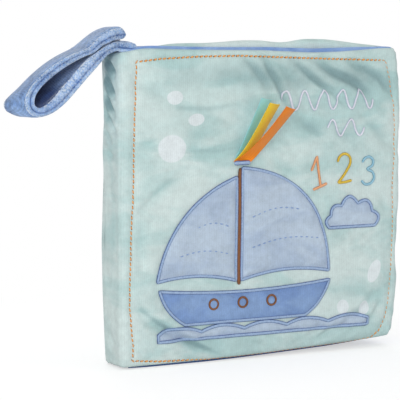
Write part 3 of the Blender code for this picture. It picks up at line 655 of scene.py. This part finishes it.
# Soft-twisted cotton thread: matt, pale on the crown of a stitch, with painted shade where it goes down into
# its holes. Its twist is drawn 0.75 mm long, twice the real one, so that it shows.
twist_scale = 420.0
twisted_thread, tree, _ = new_material("twisted_orange_thread", 0.55, sheen=0.2, specular=0.35)
run = add_node(tree, "Attribute", attribute_name="along").outputs["Fac"]
place = add_node(tree, "TexCoord").outputs["Object"]
uneven = add_node(tree, "TexNoise", {"Vector": place, "Scale": twist_scale, "Detail": 2.0})
shifted = add_node(tree, "Math", [uneven, -0.5], operation="ADD")
wobble = add_node(tree, "Math", [shifted, 1.3, run], operation="MULTIPLY_ADD")
tips = add_node(tree, "Math", [wobble], operation="ABSOLUTE")
# Painted shade towards both ends of each stitch
painted_light_share = add_node(tree, "MapRange", [tips, 0.34, 0.86, 0.0, 1.0], interpolation_type="SMOOTHSTEP")
twist = add_node(tree, "TexWave", {"Vector": place, "Scale": twist_scale, "Distortion": 1.0},
                 bands_direction="DIAGONAL").outputs["Fac"]
two_tone(tree, painted_light_share, "#E09A50", "#5E2E14", twist, 0.5, 0.00015)
finish_mesh(stitches, twisted_thread, 80)
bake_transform(stitches)
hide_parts("border_stitch")


# Sewn-on shapes: a sailing boat, a strip of sea and a cloud, each cut from velour, laid on the wadding so
# that it stands up a little, and fixed all round by a row of satin stitch over its cut edge.
def turn_number(co, count):
    """Which of a ring's points each vertex of a round primitive belongs to."""
    return np.rint(np.arctan2(co[:, 1], co[:, 0]) / (2 * math.pi) * count).astype(int) % count


def square_to(tangent):
    """Unit vectors to the right of these directions."""
    return np.stack([tangent[:, 1], -tangent[:, 0]], 1) / np.hypot(*tangent.T)[:, None]


def thicken(obj, thickness, offset):
    """Gives a face a wall, on its inner side at an offset of -1 and on both sides at 0."""
    wall = obj.modifiers.new("wall", "SOLIDIFY")
    wall.thickness = thickness
    wall.offset = offset
    bpy.ops.object.modifier_apply(modifier="wall")


ring_shares = (1.0, 0.985, 0.965, 0.935, 0.89, 0.83, 0.75, 0.65, 0.53, 0.40, 0.26, 0.12)
patch_lift = 0.0004
ply = 0.0008


def sewn_patch(name, outline, material, crown):
    """A velour shape on the cover, raised as the wadding lifts it. It is made of rings drawn in from its
    outline, or where it has crests, of a strip between its foot and its crests."""
    rim = even_points(outline, 0.0016)
    if outline is sea_outline:
        obj = new_piece(name, bpy.ops.mesh.primitive_grid_add, x_subdivisions=160, y_subdivisions=10, size=2)
        share_x, share_z = (coordinates(obj)[:, :2].T + 1) / 2
        x = rim[:, 0].min() + share_x * (rim[:, 0].max() - rim[:, 0].min())
        turn = (x - sea_left) / crest_pitch % 1
        top = crest_foot + 4 * crest_bulge * crest_pitch * turn * (1 - turn)
        z = sea_foot + share_z * (top - sea_foot)
    else:
        obj = new_piece(name, bpy.ops.mesh.primitive_circle_add, vertices=len(rim), radius=1,
                        fill_type="NOTHING")
        bpy.ops.object.mode_set(mode="EDIT")
        for wide, narrow in zip(ring_shares, ring_shares[1:]):
            bpy.ops.mesh.extrude_region_move()
            bpy.ops.transform.resize(value=(narrow / wide, narrow / wide, 1))
        bpy.ops.mesh.extrude_region_move()
        bpy.ops.mesh.merge(type="CENTER")
        bpy.ops.object.mode_set(mode="OBJECT")
        co = coordinates(obj)
        radius = np.hypot(co[:, 0], co[:, 1])[:, None]
        middle = rim.mean(0)
        x, z = (middle + (rim[turn_number(co, len(rim))] - middle) * radius).T
    away, _ = distance_to_line(rim, x, z, closed=True)
    wrinkles = soft_noise(x + 0.6 * z, 0.35 * z, 0.012, 61) * (1 - ramp(away, 0.014))
    slack = soft_noise(x, z, 0.026, 62) * ramp(away, 0.006)
    raised = patch_lift + crown * (1 - np.exp(-away / 0.0028)) + 0.00022 * wrinkles + 0.00045 * slack
    place_vertices(obj, x, cover_surface(x, z) - raised, z)
    # Painted shade beside the satin edge, where the velour is pulled down, and in the troughs of its wrinkles
    # and slack
    paint(obj, "painted_shade_and_print", np.clip(0.45 * bell(away, 0.0022) - 0.25 * slack - 0.12 * wrinkles, 0, 1))
    finish_mesh(obj, material)
    thicken(obj, ply, -1)
    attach(obj, "front_cover")
    return obj


def finish_satin(obj, run, across, material):
    paint(obj, "along", run)
    paint(obj, "across", across)
    finish_mesh(obj, material, 80)


def satin_ring(name, outline, material, width, height, lift=0.0006):
    """A closed row of satin stitch along an outline."""
    centre_line = even_points(outline, 0.0011)
    count, ring, tube = len(centre_line), 2, 0.5
    obj = new_piece(name, bpy.ops.mesh.primitive_torus_add, major_segments=count, minor_segments=12,
                    major_radius=ring, minor_radius=tube)
    co = coordinates(obj)
    number = turn_number(co, count)
    across, up = (np.hypot(co[:, 0], co[:, 1]) - ring) / tube, co[:, 2] / tube
    square = square_to(np.roll(centre_line, -2, 0) - np.roll(centre_line, 2, 0))
    x, z = (centre_line[number] + square[number] * (across * width / 2)[:, None]).T
    face = 0.5 * (cover_surface(x, z) + cover_surface(*centre_line.T)[number])
    place_vertices(obj, x, face - lift - up * height, z)
    length = step_lengths(line_points(centre_line, True)).sum()
    finish_satin(obj, number * length / count, across, material)
    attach(obj, "front_cover")
    return obj


def thread(name, colour, edge, pitch=0.0007, edge_from=0.55):
    """Rayon embroidery thread, wound smooth: glossy strands side by side, with painted shade in the gaps
    between them, and darker towards the edges of the row, where painted shade in the grooves beside it meets
    a darker outline thread.
    Real strands are 0.4 mm apart, and are drawn wider so that they show."""
    material, tree, _ = new_material(name, 0.42, sheen=0.25, sheen_roughness=0.3, specular=0.45)
    run = add_node(tree, "Attribute", attribute_name="along").outputs["Fac"]
    across = add_node(tree, "Attribute", attribute_name="across").outputs["Fac"]
    turns = add_node(tree, "Math", [run, 2 * math.pi / pitch], operation="MULTIPLY")
    slanted = add_node(tree, "Math", [across, 1.6], operation="MULTIPLY")
    phase = add_node(tree, "Math", [turns, slanted], operation="ADD")
    strands = add_node(tree, "Math", [phase], operation="SINE")
    place = add_node(tree, "TexCoord").outputs["Object"]
    fuzz = add_node(tree, "TexNoise", {"Vector": place, "Scale": 900.0, "Detail": 2.0})
    side = add_node(tree, "Math", [across], operation="ABSOLUTE")
    edged = add_node(tree, "MapRange", [side, edge_from, 0.95, 0.0, 1.0], interpolation_type="SMOOTHSTEP")
    gap_shade = add_node(tree, "MapRange", [strands, -1.0, 0.0, 0.35, 0.0])
    noise = add_node(tree, "MapRange", [fuzz, 0.35, 0.7, -0.12, 0.18])
    first = add_node(tree, "Math", [edged, gap_shade], operation="MAXIMUM")
    share = add_node(tree, "Math", [first, noise], operation="ADD", use_clamp=True)
    height = add_node(tree, "Math", [strands, fuzz], operation="ADD")
    two_tone(tree, share, colour, edge, height, 0.6, 0.00018)
    return material


pale_velour = velour("pale_blue_velour", "#B5C4D4", "#A4B5CC", "#8097BC", rib=0.0013, streak=24.0, grain=0.16)
hull_velour = velour("hull_blue_velour", "#86A1CA", "#7490C0", "#5572A8", rib=0.0013, streak=34.0, grain=0.17)
satin_blue = thread("satin_blue_thread", "#A6BFDE", "#385290", edge_from=0.30)
shape_kinds = (("sea", sea_outline, pale_velour, 0.0007, "pale_blue_plush"),
               ("hull", hull_outline, hull_velour, 0.0013, "blue_plush"),
               ("jib_sail", jib_outline, pale_velour, 0.0015, "pale_blue_plush"),
               ("main_sail", main_outline, pale_velour, 0.0016, "pale_blue_plush"),
               ("cloud", cloud_outline, pale_velour, 0.0010, "pale_blue_plush"))
for name, outline, material, crown, slot in shape_kinds:
    patch = sewn_patch(name + "_velour", outline, material, crown)
    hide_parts(name)
    edge = satin_ring(name + "_satin_edge", outline, satin_blue, width=0.0023, height=0.00062)


# Embroidery: the mast, the sails' seams, portholes, numerals and white ripples. Each is a row of satin stitch
# in rayon thread over the velour, worked in place, and its open ends are rounded.
def ringed_tube(name, sides, rings):
    """A closed tube to be shaped: a cylinder cut into rings. Gives its vertices' places too."""
    obj = new_piece(name, bpy.ops.mesh.primitive_cylinder_add, vertices=sides, radius=1, depth=2,
                    end_fill_type="TRIFAN")
    co = coordinates(obj)
    upright = [abs(co[a, 2] - co[b, 2]) > 1 for a, b in (edge.vertices for edge in obj.data.edges)]
    for parts in (obj.data.polygons, obj.data.vertices):
        parts.foreach_set("select", [False] * len(parts))
    obj.data.edges.foreach_set("select", upright)
    bpy.context.tool_settings.mesh_select_mode = (False, True, False)
    bpy.ops.object.mode_set(mode="EDIT")
    bpy.ops.mesh.subdivide(number_cuts=rings - 2)
    bpy.ops.object.mode_set(mode="OBJECT")
    return obj, coordinates(obj)


def round_end(to_end, radius):
    """How full a tube is at this distance from its rounded end."""
    return np.sqrt(np.clip(1 - (1 - ramp(to_end, radius)) ** 2, 0.04, 1))


def satin_stroke(name, line, material, width, height, lift=0.0004):
    """An open row of satin stitch with rounded ends."""
    centre_line = even_points(line, 0.0007, closed=False)
    obj, co = ringed_tube(name, 12, len(centre_line))
    share = (co[:, 2] + 1) / 2
    number = np.rint(share * (len(centre_line) - 1)).astype(int)
    square = square_to(np.gradient(centre_line, axis=0))
    length = step_lengths(centre_line).sum()
    run = share * length
    full = round_end(np.minimum(run, length - run), width / 2)
    ragged = 1 + 0.06 * np.sin(run * 2300 + 2 * np.sin(run * 700))
    across, up = co[:, 0] * full * ragged, co[:, 1] * full
    x, z = (centre_line[number] + square[number] * (across * width / 2)[:, None]).T
    place_vertices(obj, x, cover_surface(x, z) - lift - up * height, z)
    finish_satin(obj, run, co[:, 0], material)
    return obj


def joined(name, pieces):
    """Joins pieces of embroidery, which then ride on the cover."""
    bpy.ops.object.select_all(action="DESELECT")
    for piece in pieces:
        piece.select_set(True)
    bpy.context.view_layer.objects.active = pieces[0]
    if len(pieces) > 1:
        bpy.ops.object.join()
    whole = bpy.context.view_layer.objects.active
    whole.name = whole.data.name = name
    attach(whole, "front_cover")
    return whole


def curve_through(points, steps=14):
    """A smooth line through a few points, in metres from millimetres."""
    p = np.array(points, float) / 1000
    if len(p) < 3:
        return p
    ends = np.vstack([2 * p[0] - p[1], p, 2 * p[-1] - p[-2]])
    line = []
    for a, b, c, d in zip(ends, ends[1:], ends[2:], ends[3:]):
        for t in np.arange(steps) / steps:
            line.append(0.5 * (2 * b + (c - a) * t + (2 * a - 5 * b + 4 * c - d) * t * t
                               + (3 * b - a - 3 * c + d) * t ** 3))
    return np.vstack([line, p[-1:]])


brown_thread = thread("brown_satin_thread", "#8A5630", "#4A2A14", 0.0006)
mast_line = [(mast_x, 0.050), (mast_x, 0.127)]
mast = joined("mast_satin", [satin_stroke("mast", mast_line, brown_thread, width=0.0027, height=0.0006,
                                          lift=0.0006)])
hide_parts("mast")

# Rows of fine stitching cross the sails where the real cloth would have its seams: height, ends, bow and rise
seam_thread = thread("fine_blue_thread", "#8FA8D0", "#6680B4", 0.0016, edge_from=0.5)
seam_kinds = ((0.074, 0.0895, 0.1415, 0.0035, 0.004), (0.094, 0.0895, 0.1265, 0.0035, 0.004),
              (0.071, 0.0365, 0.0735, 0.0030, 0.0), (0.089, 0.0490, 0.0735, 0.0030, 0.0))
dash_pitch, dash_start, dash_end = 0.0042, 0.18, 0.80
t = np.linspace(0, 1, 24)
dashes = []
for height, left, right, bow, rise in seam_kinds:
    line = np.stack([left + (right - left) * t, height + bow * np.sin(math.pi * t) + rise * t], 1)
    ends = even_points(line, dash_pitch, closed=False)
    for a, b in zip(ends, ends[1:]):
        dash = [a + dash_start * (b - a), a + dash_end * (b - a)]
        dashes.append(satin_stroke("dash", dash, seam_thread, width=0.0009, height=0.00035, lift=0.00185))
joined("sail_seam_stitches", dashes)

porthole_z, porthole_radius = 0.0385, 0.0033
turns = np.linspace(0, 2 * math.pi, 24)[:-1]
portholes = []
for place in (0.062, 0.0835, 0.105):
    ring = porthole_radius * np.stack([np.cos(turns), np.sin(turns)], 1) + (place, porthole_z)
    portholes.append(satin_ring("porthole", ring, brown_thread, width=0.0015, height=0.0005, lift=0.0018))
joined("porthole_satin", portholes)

numeral_kinds = (
    ("numeral_1", "#EDAE80", "#C07848", "peach_thread",
     [[(135.3, 122.8), (137.6, 127.5), (139.7, 132.3)], [(139.7, 132.9), (141.0, 122.8), (142.5, 112.7)],
      [(136.7, 110.2), (142.5, 112.3), (147.7, 114.2)]]),
    ("numeral_2", "#E3C13C", "#A8841C", "gold_thread",
     [[(155.8, 128.0), (157.6, 131.9), (161.4, 133.5), (165.2, 131.3), (165.8, 126.9), (162.6, 121.4),
       (159.0, 117.0), (156.0, 114.0)], [(156.0, 114.2), (161.4, 114.4), (167.2, 115.4)]]),
    ("numeral_3", "#9CCADD", "#5C95AD", "sky_thread",
     [[(175.5, 127.0), (177.9, 129.9), (181.5, 130.6), (184.3, 128.2), (183.5, 124.6), (179.7, 122.4),
       (183.7, 120.4), (185.1, 116.5), (182.5, 112.9), (178.1, 112.2), (174.7, 114.9)]]),
)
for name, colour, edge, slot, strokes in numeral_kinds:
    material = thread(slot.replace("_", "_satin_"), colour, edge, edge_from=0.45)
    numeral = joined(name + "_satin", [satin_stroke(name, curve_through(stroke), material, width=0.0019,
                                                    height=0.0005) for stroke in strokes])
    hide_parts(name)

white_thread = thread("white_satin_thread", "#E9EBF3", "#B3B9D2", edge_from=0.4)
ripple_length = 0.0145
for name, start, middle, height, count in (("ripple_upper", 0.112, 0.170, 0.013, 5),
                                           ("ripple_lower", 0.148, 0.151, 0.011, 2)):
    turn = np.linspace(0, count, count * 40 + 1)
    line = np.stack([start + ripple_length * turn, middle + height / 2 * np.sin(2 * math.pi * turn)], 1)
    ripple = joined(name + "_satin", [satin_stroke(name, line, white_thread, width=0.0015, height=0.0004)])
    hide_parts(name)

# Ribbons: three lengths of ribbed polyester ribbon, heat-cut at the top and caught at their foot in the seam
# over the mast by a short bar tack. They stand off the cover and turn a little as they rise.
ribbon_root = np.array([mast_x, -0.01766, 0.131])
ribbon_half, ribbon_weave = 0.005, 0.00045
rib_pitch = 0.0008  # twice the real one, so that the ribs show


def grosgrain(name, colour, deep):
    """Ribbed polyester ribbon, woven: bright matt ribs across it, with painted shade in the grooves between
    them, and a flat selvedge.
    """
    material, tree, _ = new_material(name, 0.5, sheen=0.15, sheen_roughness=0.35, specular=0.4)
    run = add_node(tree, "Attribute", attribute_name="along").outputs["Fac"]
    turns = add_node(tree, "Math", [run, 2 * math.pi / rib_pitch], operation="MULTIPLY")
    ribs = add_node(tree, "Math", [turns], operation="SINE")
    across = add_node(tree, "Attribute", attribute_name="across").outputs["Fac"]
    side = add_node(tree, "Math", [across], operation="ABSOLUTE")
    selvedge = add_node(tree, "MapRange", [side, 0.82, 1.0, 0.0, 0.5])
    groove_shade = add_node(tree, "MapRange", [ribs, -1.0, 0.6, 0.45, 0.0])
    share = add_node(tree, "Math", [groove_shade, selvedge], operation="MAXIMUM")
    two_tone(tree, share, colour, deep, ribs, 0.6, 0.00015)
    return material


# Length, lean to the fore edge and out from the cover, layer, colours, twist and sag
ribbon_kinds = (("teal", 0.0455, 17, 20, 0, "#A8E4EA", "#86C8D0", 22, 0.0008),
                ("yellow", 0.046, 21, 28, 1, "#FADB3C", "#E8C02C", 24, 0.0024),
                ("orange", 0.050, 32, 34, 2, "#F28A10", "#DA6E02", 29, 0.0042))
for name, length, lean, out, layer, colour, deep, twist, sag in ribbon_kinds:
    ribbon = new_piece(f"ribbon_{name}_grosgrain", bpy.ops.mesh.primitive_grid_add, x_subdivisions=8,
                       y_subdivisions=48, size=2)
    co = coordinates(ribbon)
    across, share = co[:, 0], (co[:, 1] + 1) / 2
    lean, out = math.radians(lean), math.radians(out)
    root = ribbon_root - np.array([0, layer * 2 * ribbon_weave / math.cos(out), 0])
    along = np.array([math.sin(lean) * math.cos(out), -math.sin(out), math.cos(lean) * math.cos(out)])
    flat = np.array([math.cos(lean), 0, -math.sin(lean)])
    turn = math.radians(twist) * (1 - np.exp(-share / 0.10)) + math.radians(5) * np.sin(math.pi * share)
    wide = np.outer(np.cos(turn), flat) + np.outer(np.sin(turn), np.cross(along, flat))
    bowed = 0.0013 * np.sin(math.pi * share) + 0.0008 * share ** 3 + 0.0006 * across ** 2 * share
    run = share * length + (1 - share) ** 3 * across * ribbon_half * math.tan(lean) / math.cos(out)
    spot = root + np.outer(run, along) + np.cross(along, wide) * bowed[:, None]
    spot += wide * (across * ribbon_half)[:, None]
    spot[:, 0] += sag * np.sin(math.pi * share ** 0.75)
    place_vertices(ribbon, *spot.T)
    paint(ribbon, "along", run)
    paint(ribbon, "across", across)
    thicken(ribbon, ribbon_weave, 0)
    finish_mesh(ribbon, grosgrain(f"ribbon_grosgrain_{name}", colour, deep), 50)
    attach(ribbon, "ribbons")
    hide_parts("ribbon_" + name)

tack_half, tack_z = 0.0062, 0.1306
tack_line = [(mast_x - tack_half, tack_z), (mast_x + tack_half, tack_z)]
bar_tack = satin_stroke("ribbon_bar_tack", tack_line, satin_blue, width=0.0030, height=0.0009, lift=0.0032)
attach(bar_tack, "ribbons")

# Hanging strap: a padded tube of blue velour, sewn into the top of the spine. It runs out and down, folds,
# and comes back over itself, where a hook-and-loop tape holds its end. Seams run along both of its edges, and
# each edge has its own line, because the far edge is pinched where the strap folds.
strap_near = ((10.2, 206.8), (-0.5, 207.8), (-4.6, 207.6), (-10.8, 204.5), (-17.4, 199), (-26, 190.8),
              (-33.2, 182.9), (-40.6, 174.9), (-47, 169.8), (-52.8, 167), (-58.2, 166.3), (-62.6, 168.4),
              (-64.3, 172.8), (-62.8, 178.6), (-57.4, 185.2), (-50.2, 191.2), (-42.6, 196.2), (-35.2, 200),
              (-28.4, 202.6), (-22, 205), (-14.6, 210.7), (-6, 214.4), (2.2, 215.2))
strap_far = ((5, 207.8), (-0.5, 207.8), (-4.6, 207.8), (-10.8, 204.5), (-17.4, 199.6), (-26.2, 194.4),
             (-33.8, 189.2), (-42.6, 182.6), (-50, 176.4), (-57, 170.4), (-62.7, 166.6), (-67.6, 167.4),
             (-69.3, 170.4), (-67.4, 173.2), (-61.4, 177.6), (-53.6, 185), (-45.2, 191.8), (-37.2, 197.4),
             (-29.2, 201.6), (-22, 204.8), (-14.6, 208.4), (-6.2, 212.6), (1, 214.2))
strap_steps = 12  # from one point of the lines to the next
strap_split = 10 * strap_steps  # the strap's two pieces meet at this step, just before the fold
strap_last = (len(strap_near) - 1) * strap_steps
strap_width = 0.029
near_line, far_line = curve_through(strap_near, strap_steps), curve_through(strap_far, strap_steps)
near_normal, far_normal = (square_to(np.gradient(line, axis=0)) for line in (near_line, far_line))
strap_length = run_along(near_line)

# The same velour, handled more: its nap is rubbed coarse. It is painted pale where the strap's edges stand up
# and along it, as painted highlights, and dark in its seams and hollow, as painted shade
strap_velour = velour("strap_velour", "#8CA9D2", "#587CB4", "#20366E", rib=0.0011, streak=50.0,
                      streak_share=0.55, grain=0.54)
tree = strap_velour.node_tree
shader = tree.nodes["Principled BSDF"]
# Painted highlight: a frosty pale blue mixed in where the attribute asks, broken up by fine noise
painted_highlight = add_node(tree, "Attribute", attribute_name="painted_highlight").outputs["Fac"]
place = add_node(tree, "TexCoord").outputs["Object"]
frost = add_node(tree, "TexNoise", {"Vector": place, "Scale": 820.0, "Detail": 2.0, "Roughness": 0.7})
frosted = add_node(tree, "MapRange", [frost, 0.42, 0.60, 0.05, 1.2])
highlight_share = add_node(tree, "Math", [painted_highlight, frosted], operation="MULTIPLY")
nap_colour = shader.inputs["Base Color"].links[0].from_socket
raised = add_node(tree, "Mix", {0: highlight_share, 6: nap_colour, 7: linear("#D2DCE4")}, data_type="RGBA")
set_inputs(shader, {"Base Color": raised})


def strap_piece(name, first, last, rounded):
    """A length of the padded strap, as a closed tube with one rounded end. Its rims are fuller than its
    middle, as its seams lie there."""
    obj, co = ringed_tube(name, 64, last - first + 1)
    number = first + np.rint((co[:, 2] + 1) / 2 * (last - first)).astype(int)
    radius = np.clip(np.hypot(co[:, 0], co[:, 1]), 0, 1)
    angle = np.arctan2(co[:, 1], co[:, 0])
    wide = np.sign(np.cos(angle)) * np.abs(np.cos(angle)) ** 0.42
    high = np.sign(np.sin(angle)) * np.abs(np.sin(angle)) ** 0.62
    run = strap_length[number]
    to_end = np.abs(run - strap_length[rounded])
    full = round_end(to_end, 0.0036)
    narrow = 1 - 0.08 * (1 - ramp(to_end, 0.0050)) ** 2

    # Where along the strap a place is: the root on the spine, the lower ply, the fold and the end's hem
    knot = number / strap_steps
    root = ramp(3.2 - knot, 2.0)
    lower = ramp(knot - 2.5, 2.0) * ramp(9.6 - knot, 3.0)
    loop = ramp(knot - 3.5, 2.0) * ramp(18.0 - knot, 2.0)
    hem = ramp(knot - 18.5, 2.0)

    # Where across it: the rims, the band beside the near seam, the stitched line and the seam's groove
    side = np.abs(wide)
    rim = bell(side - 0.97, 0.10)
    near_band = ramp(-0.55 - wide, 0.30)
    seam = bell(side - 0.84, 0.035)
    groove = bell(high, 0.20) * (side > 0.9)

    lumps = 1 + 0.08 * soft_noise(run, wide * 0.01 + high * 0.004, 0.011, 71)
    inside = 0.0026 + 0.0006 * loop + 0.0036 * lower * near_band
    inside += rim * (0.0006 + 0.0012 * hem + 0.0026 * root + 0.0010 * loop * (wide < 0))
    outside = 0.0028 + 0.0020 * hem + rim * (0.0004 + 0.0010 * hem + 0.0014 * root)
    outside += 0.0009 * lower + 0.0004 * loop - 0.0012 * ramp(wide - 0.4, 0.6)
    off = high * np.where(high > 0, inside, outside) * full * lumps * radius * (1 - 0.16 * seam)
    y = wide * strap_width / 2 * narrow * radius + 0.0006 * np.sin(run * 120)
    y = y - np.sign(y) * 0.0006 * groove * full
    share = ramp(wide + 1, 2)[:, None]
    centre_x, centre_z = (near_line[number] * (1 - share) + far_line[number] * share).T
    normal = near_normal[number] * (1 - share) + far_normal[number] * share
    normal_x, normal_z = (normal / np.hypot(*normal.T)[:, None]).T
    droop = bell(wide + 1, 0.17) * (0.0019 * root + 0.0009 * hem)
    place_vertices(obj, centre_x + normal_x * off, y, centre_z + normal_z * off - droop)

    # Dark folds: the seams, the outer face and the hollow inside the loop. Pale ridges: edges and worn places
    # Painted shade at the seams and in the hollow inside the loop, and the outer face darker. Painted
    # highlights: on the standing edges, the band beside the near seam and along most of the strap's length
    within = ramp(knot - 5.0, 2.5) * ramp(18.5 - knot, 2.5)
    hollow = within * ramp(high, 0.3) * ramp(0.97 - side, 0.10)
    outer = 0.22 * ramp(-high, 0.5) * ramp(wide + 0.8, 0.2)
    painted_light_share = ramp(knot - 1.0, 2.0) * (1 - bell(knot - 11.5, 2.6))
    paint(obj, "painted_shade_and_print", np.clip(0.84 * groove + 0.62 * seam + outer + hollow, 0, 1))
    edges = np.maximum(bell(np.abs(high) - 0.74, 0.17) * ramp(side - 0.80, 0.08),
                       0.36 * ramp(side - 0.88, 0.06) * (1 - groove))
    banded = 0.60 * lower * near_band * (1 - groove) * (1 - seam)
    paint(obj, "painted_highlight", np.maximum(np.maximum(edges, 0.26 * (1 - hollow) * painted_light_share), banded))
    finish_mesh(obj, strap_velour, 75)
    return obj


strap = strap_piece("strap_run_velour", 0, strap_split, 0)
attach(strap, "strap")
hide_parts("strap_outer_plush", "strap_inner_plush")
flap = strap_piece("strap_flap_velour", strap_split, strap_last, strap_last)
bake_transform(flap)
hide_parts("strap_flap_outer_plush", "strap_flap_inner_plush")

# Hook-and-loop tape: woven nylon tape, hooks on the flap and loops on the strap, sewn on between the two
# plies. It is dull and grey-blue, and pitted all over. Real hooks stand 1 mm apart and are drawn so.
tape_material, tree, _ = new_material("woven_nylon_tape", 0.65, sheen=0.3, specular=0.3)
place = add_node(tree, "TexCoord").outputs["Object"]
hooks = add_node(tree, "TexVoronoi", {"Vector": place, "Scale": 1000.0})
spread = add_node(tree, "MapRange", [hooks, 0.1, 0.7, 0.0, 1.0])
two_tone(tree, spread, "#C9CDD8", "#98A0B4", hooks, 0.8, 0.0004)
for name in ("strap_loop_patch", "strap_flap_hook_patch"):
    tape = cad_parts[name]
    tape.data.materials.clear()
    tape.data.materials.append(tape_material)

# Studio: white paper under and behind the book, a large soft lamp in front of it on the left, weak ones on
# the right, above and behind, and the photograph's camera. The paper keeps the book's shadow, and away from
# the book it is plain white.
floor = new_piece("studio_floor", bpy.ops.mesh.primitive_plane_add, size=12, location=(0, 0, -0.0002))
paper_material, tree, shader = new_material("white_paper", 0.9, specular=0.0)
set_inputs(shader, {"Base Color": linear("#CACACA")})
place = add_node(tree, "TexCoord").outputs["Object"]
from_book = add_node(tree, "Mapping", [place, (-0.09, 0.0, 0.0)])
away = add_node(tree, "VectorMath", [from_book], operation="LENGTH")
far_off = add_node(tree, "MapRange", [away, 0.14, 0.30, 0.0, 1.0], interpolation_type="SMOOTHSTEP")
glow = add_node(tree, "Emission", {"Color": (1, 1, 1, 1), "Strength": 0.55})
paper = add_node(tree, "AddShader", [shader, glow])
white = add_node(tree, "Emission", {"Color": (1, 1, 1, 1), "Strength": 1.0})
near_or_far = add_node(tree, "MixShader", [far_off, paper, white])
seen = add_node(tree, "LightPath").outputs["Is Camera Ray"]
plain = add_node(tree, "BsdfDiffuse", {"Color": linear("#F4F4F4")})
shown = add_node(tree, "MixShader", [seen, plain, near_or_far])
set_inputs(tree.nodes["Material Output"], {"Surface": shown})
floor.data.materials.append(paper_material)

world = bpy.data.worlds.new("studio")
bpy.context.scene.world = world
world.use_nodes = True
tree = world.node_tree
tree.nodes.clear()
paths = add_node(tree, "LightPath").outputs
seen = add_node(tree, "Math", [paths["Is Camera Ray"], paths["Is Glossy Ray"]], operation="MAXIMUM")
seen = add_node(tree, "Math", [seen, paths["Is Transmission Ray"]], operation="MAXIMUM")
lit = add_node(tree, "Background", {"Color": (1, 1, 1, 1), "Strength": 0.48})
white = add_node(tree, "Background", {"Color": (1, 1, 1, 1), "Strength": 1.0})
both = add_node(tree, "MixShader", [seen, lit, white])
add_node(tree, "OutputWorld", {"Surface": both})

target = Vector((0.08, 0.0, 0.10))
for name, place, size, power in (("key_softbox", (-0.90, -1.24, 0.40), 0.8, 12.9),
                                 ("fill_softbox", (1.15, -1.00, 0.70), 0.7, 2.2),
                                 ("top_softbox", (0.10, 0.10, 1.60), 1.2, 3.0),
                                 ("back_softbox", (0.55, 1.35, 0.60), 0.9, 6.0)):
    lamp = new_piece(name, bpy.ops.object.light_add, type="AREA", location=place)
    lamp.data.size = size
    lamp.data.energy = power
    lamp.rotation_euler = (target - Vector(place)).to_track_quat("-Z", "Y").to_euler()

looking_down, looking_right = math.radians(5.7696), math.radians(27.459)
camera = new_piece("camera", bpy.ops.object.camera_add, location=(-0.53604, -1.15008, 0.23623),
                   rotation=(math.pi / 2 - looking_down, 0, -looking_right))
camera.data.lens = 178.39
camera.data.sensor_width = 36
camera.data.clip_start = 0.05
camera.data.clip_end = 30
bpy.context.scene.camera = camera
bpy.context.scene.view_settings.view_transform = "Standard"
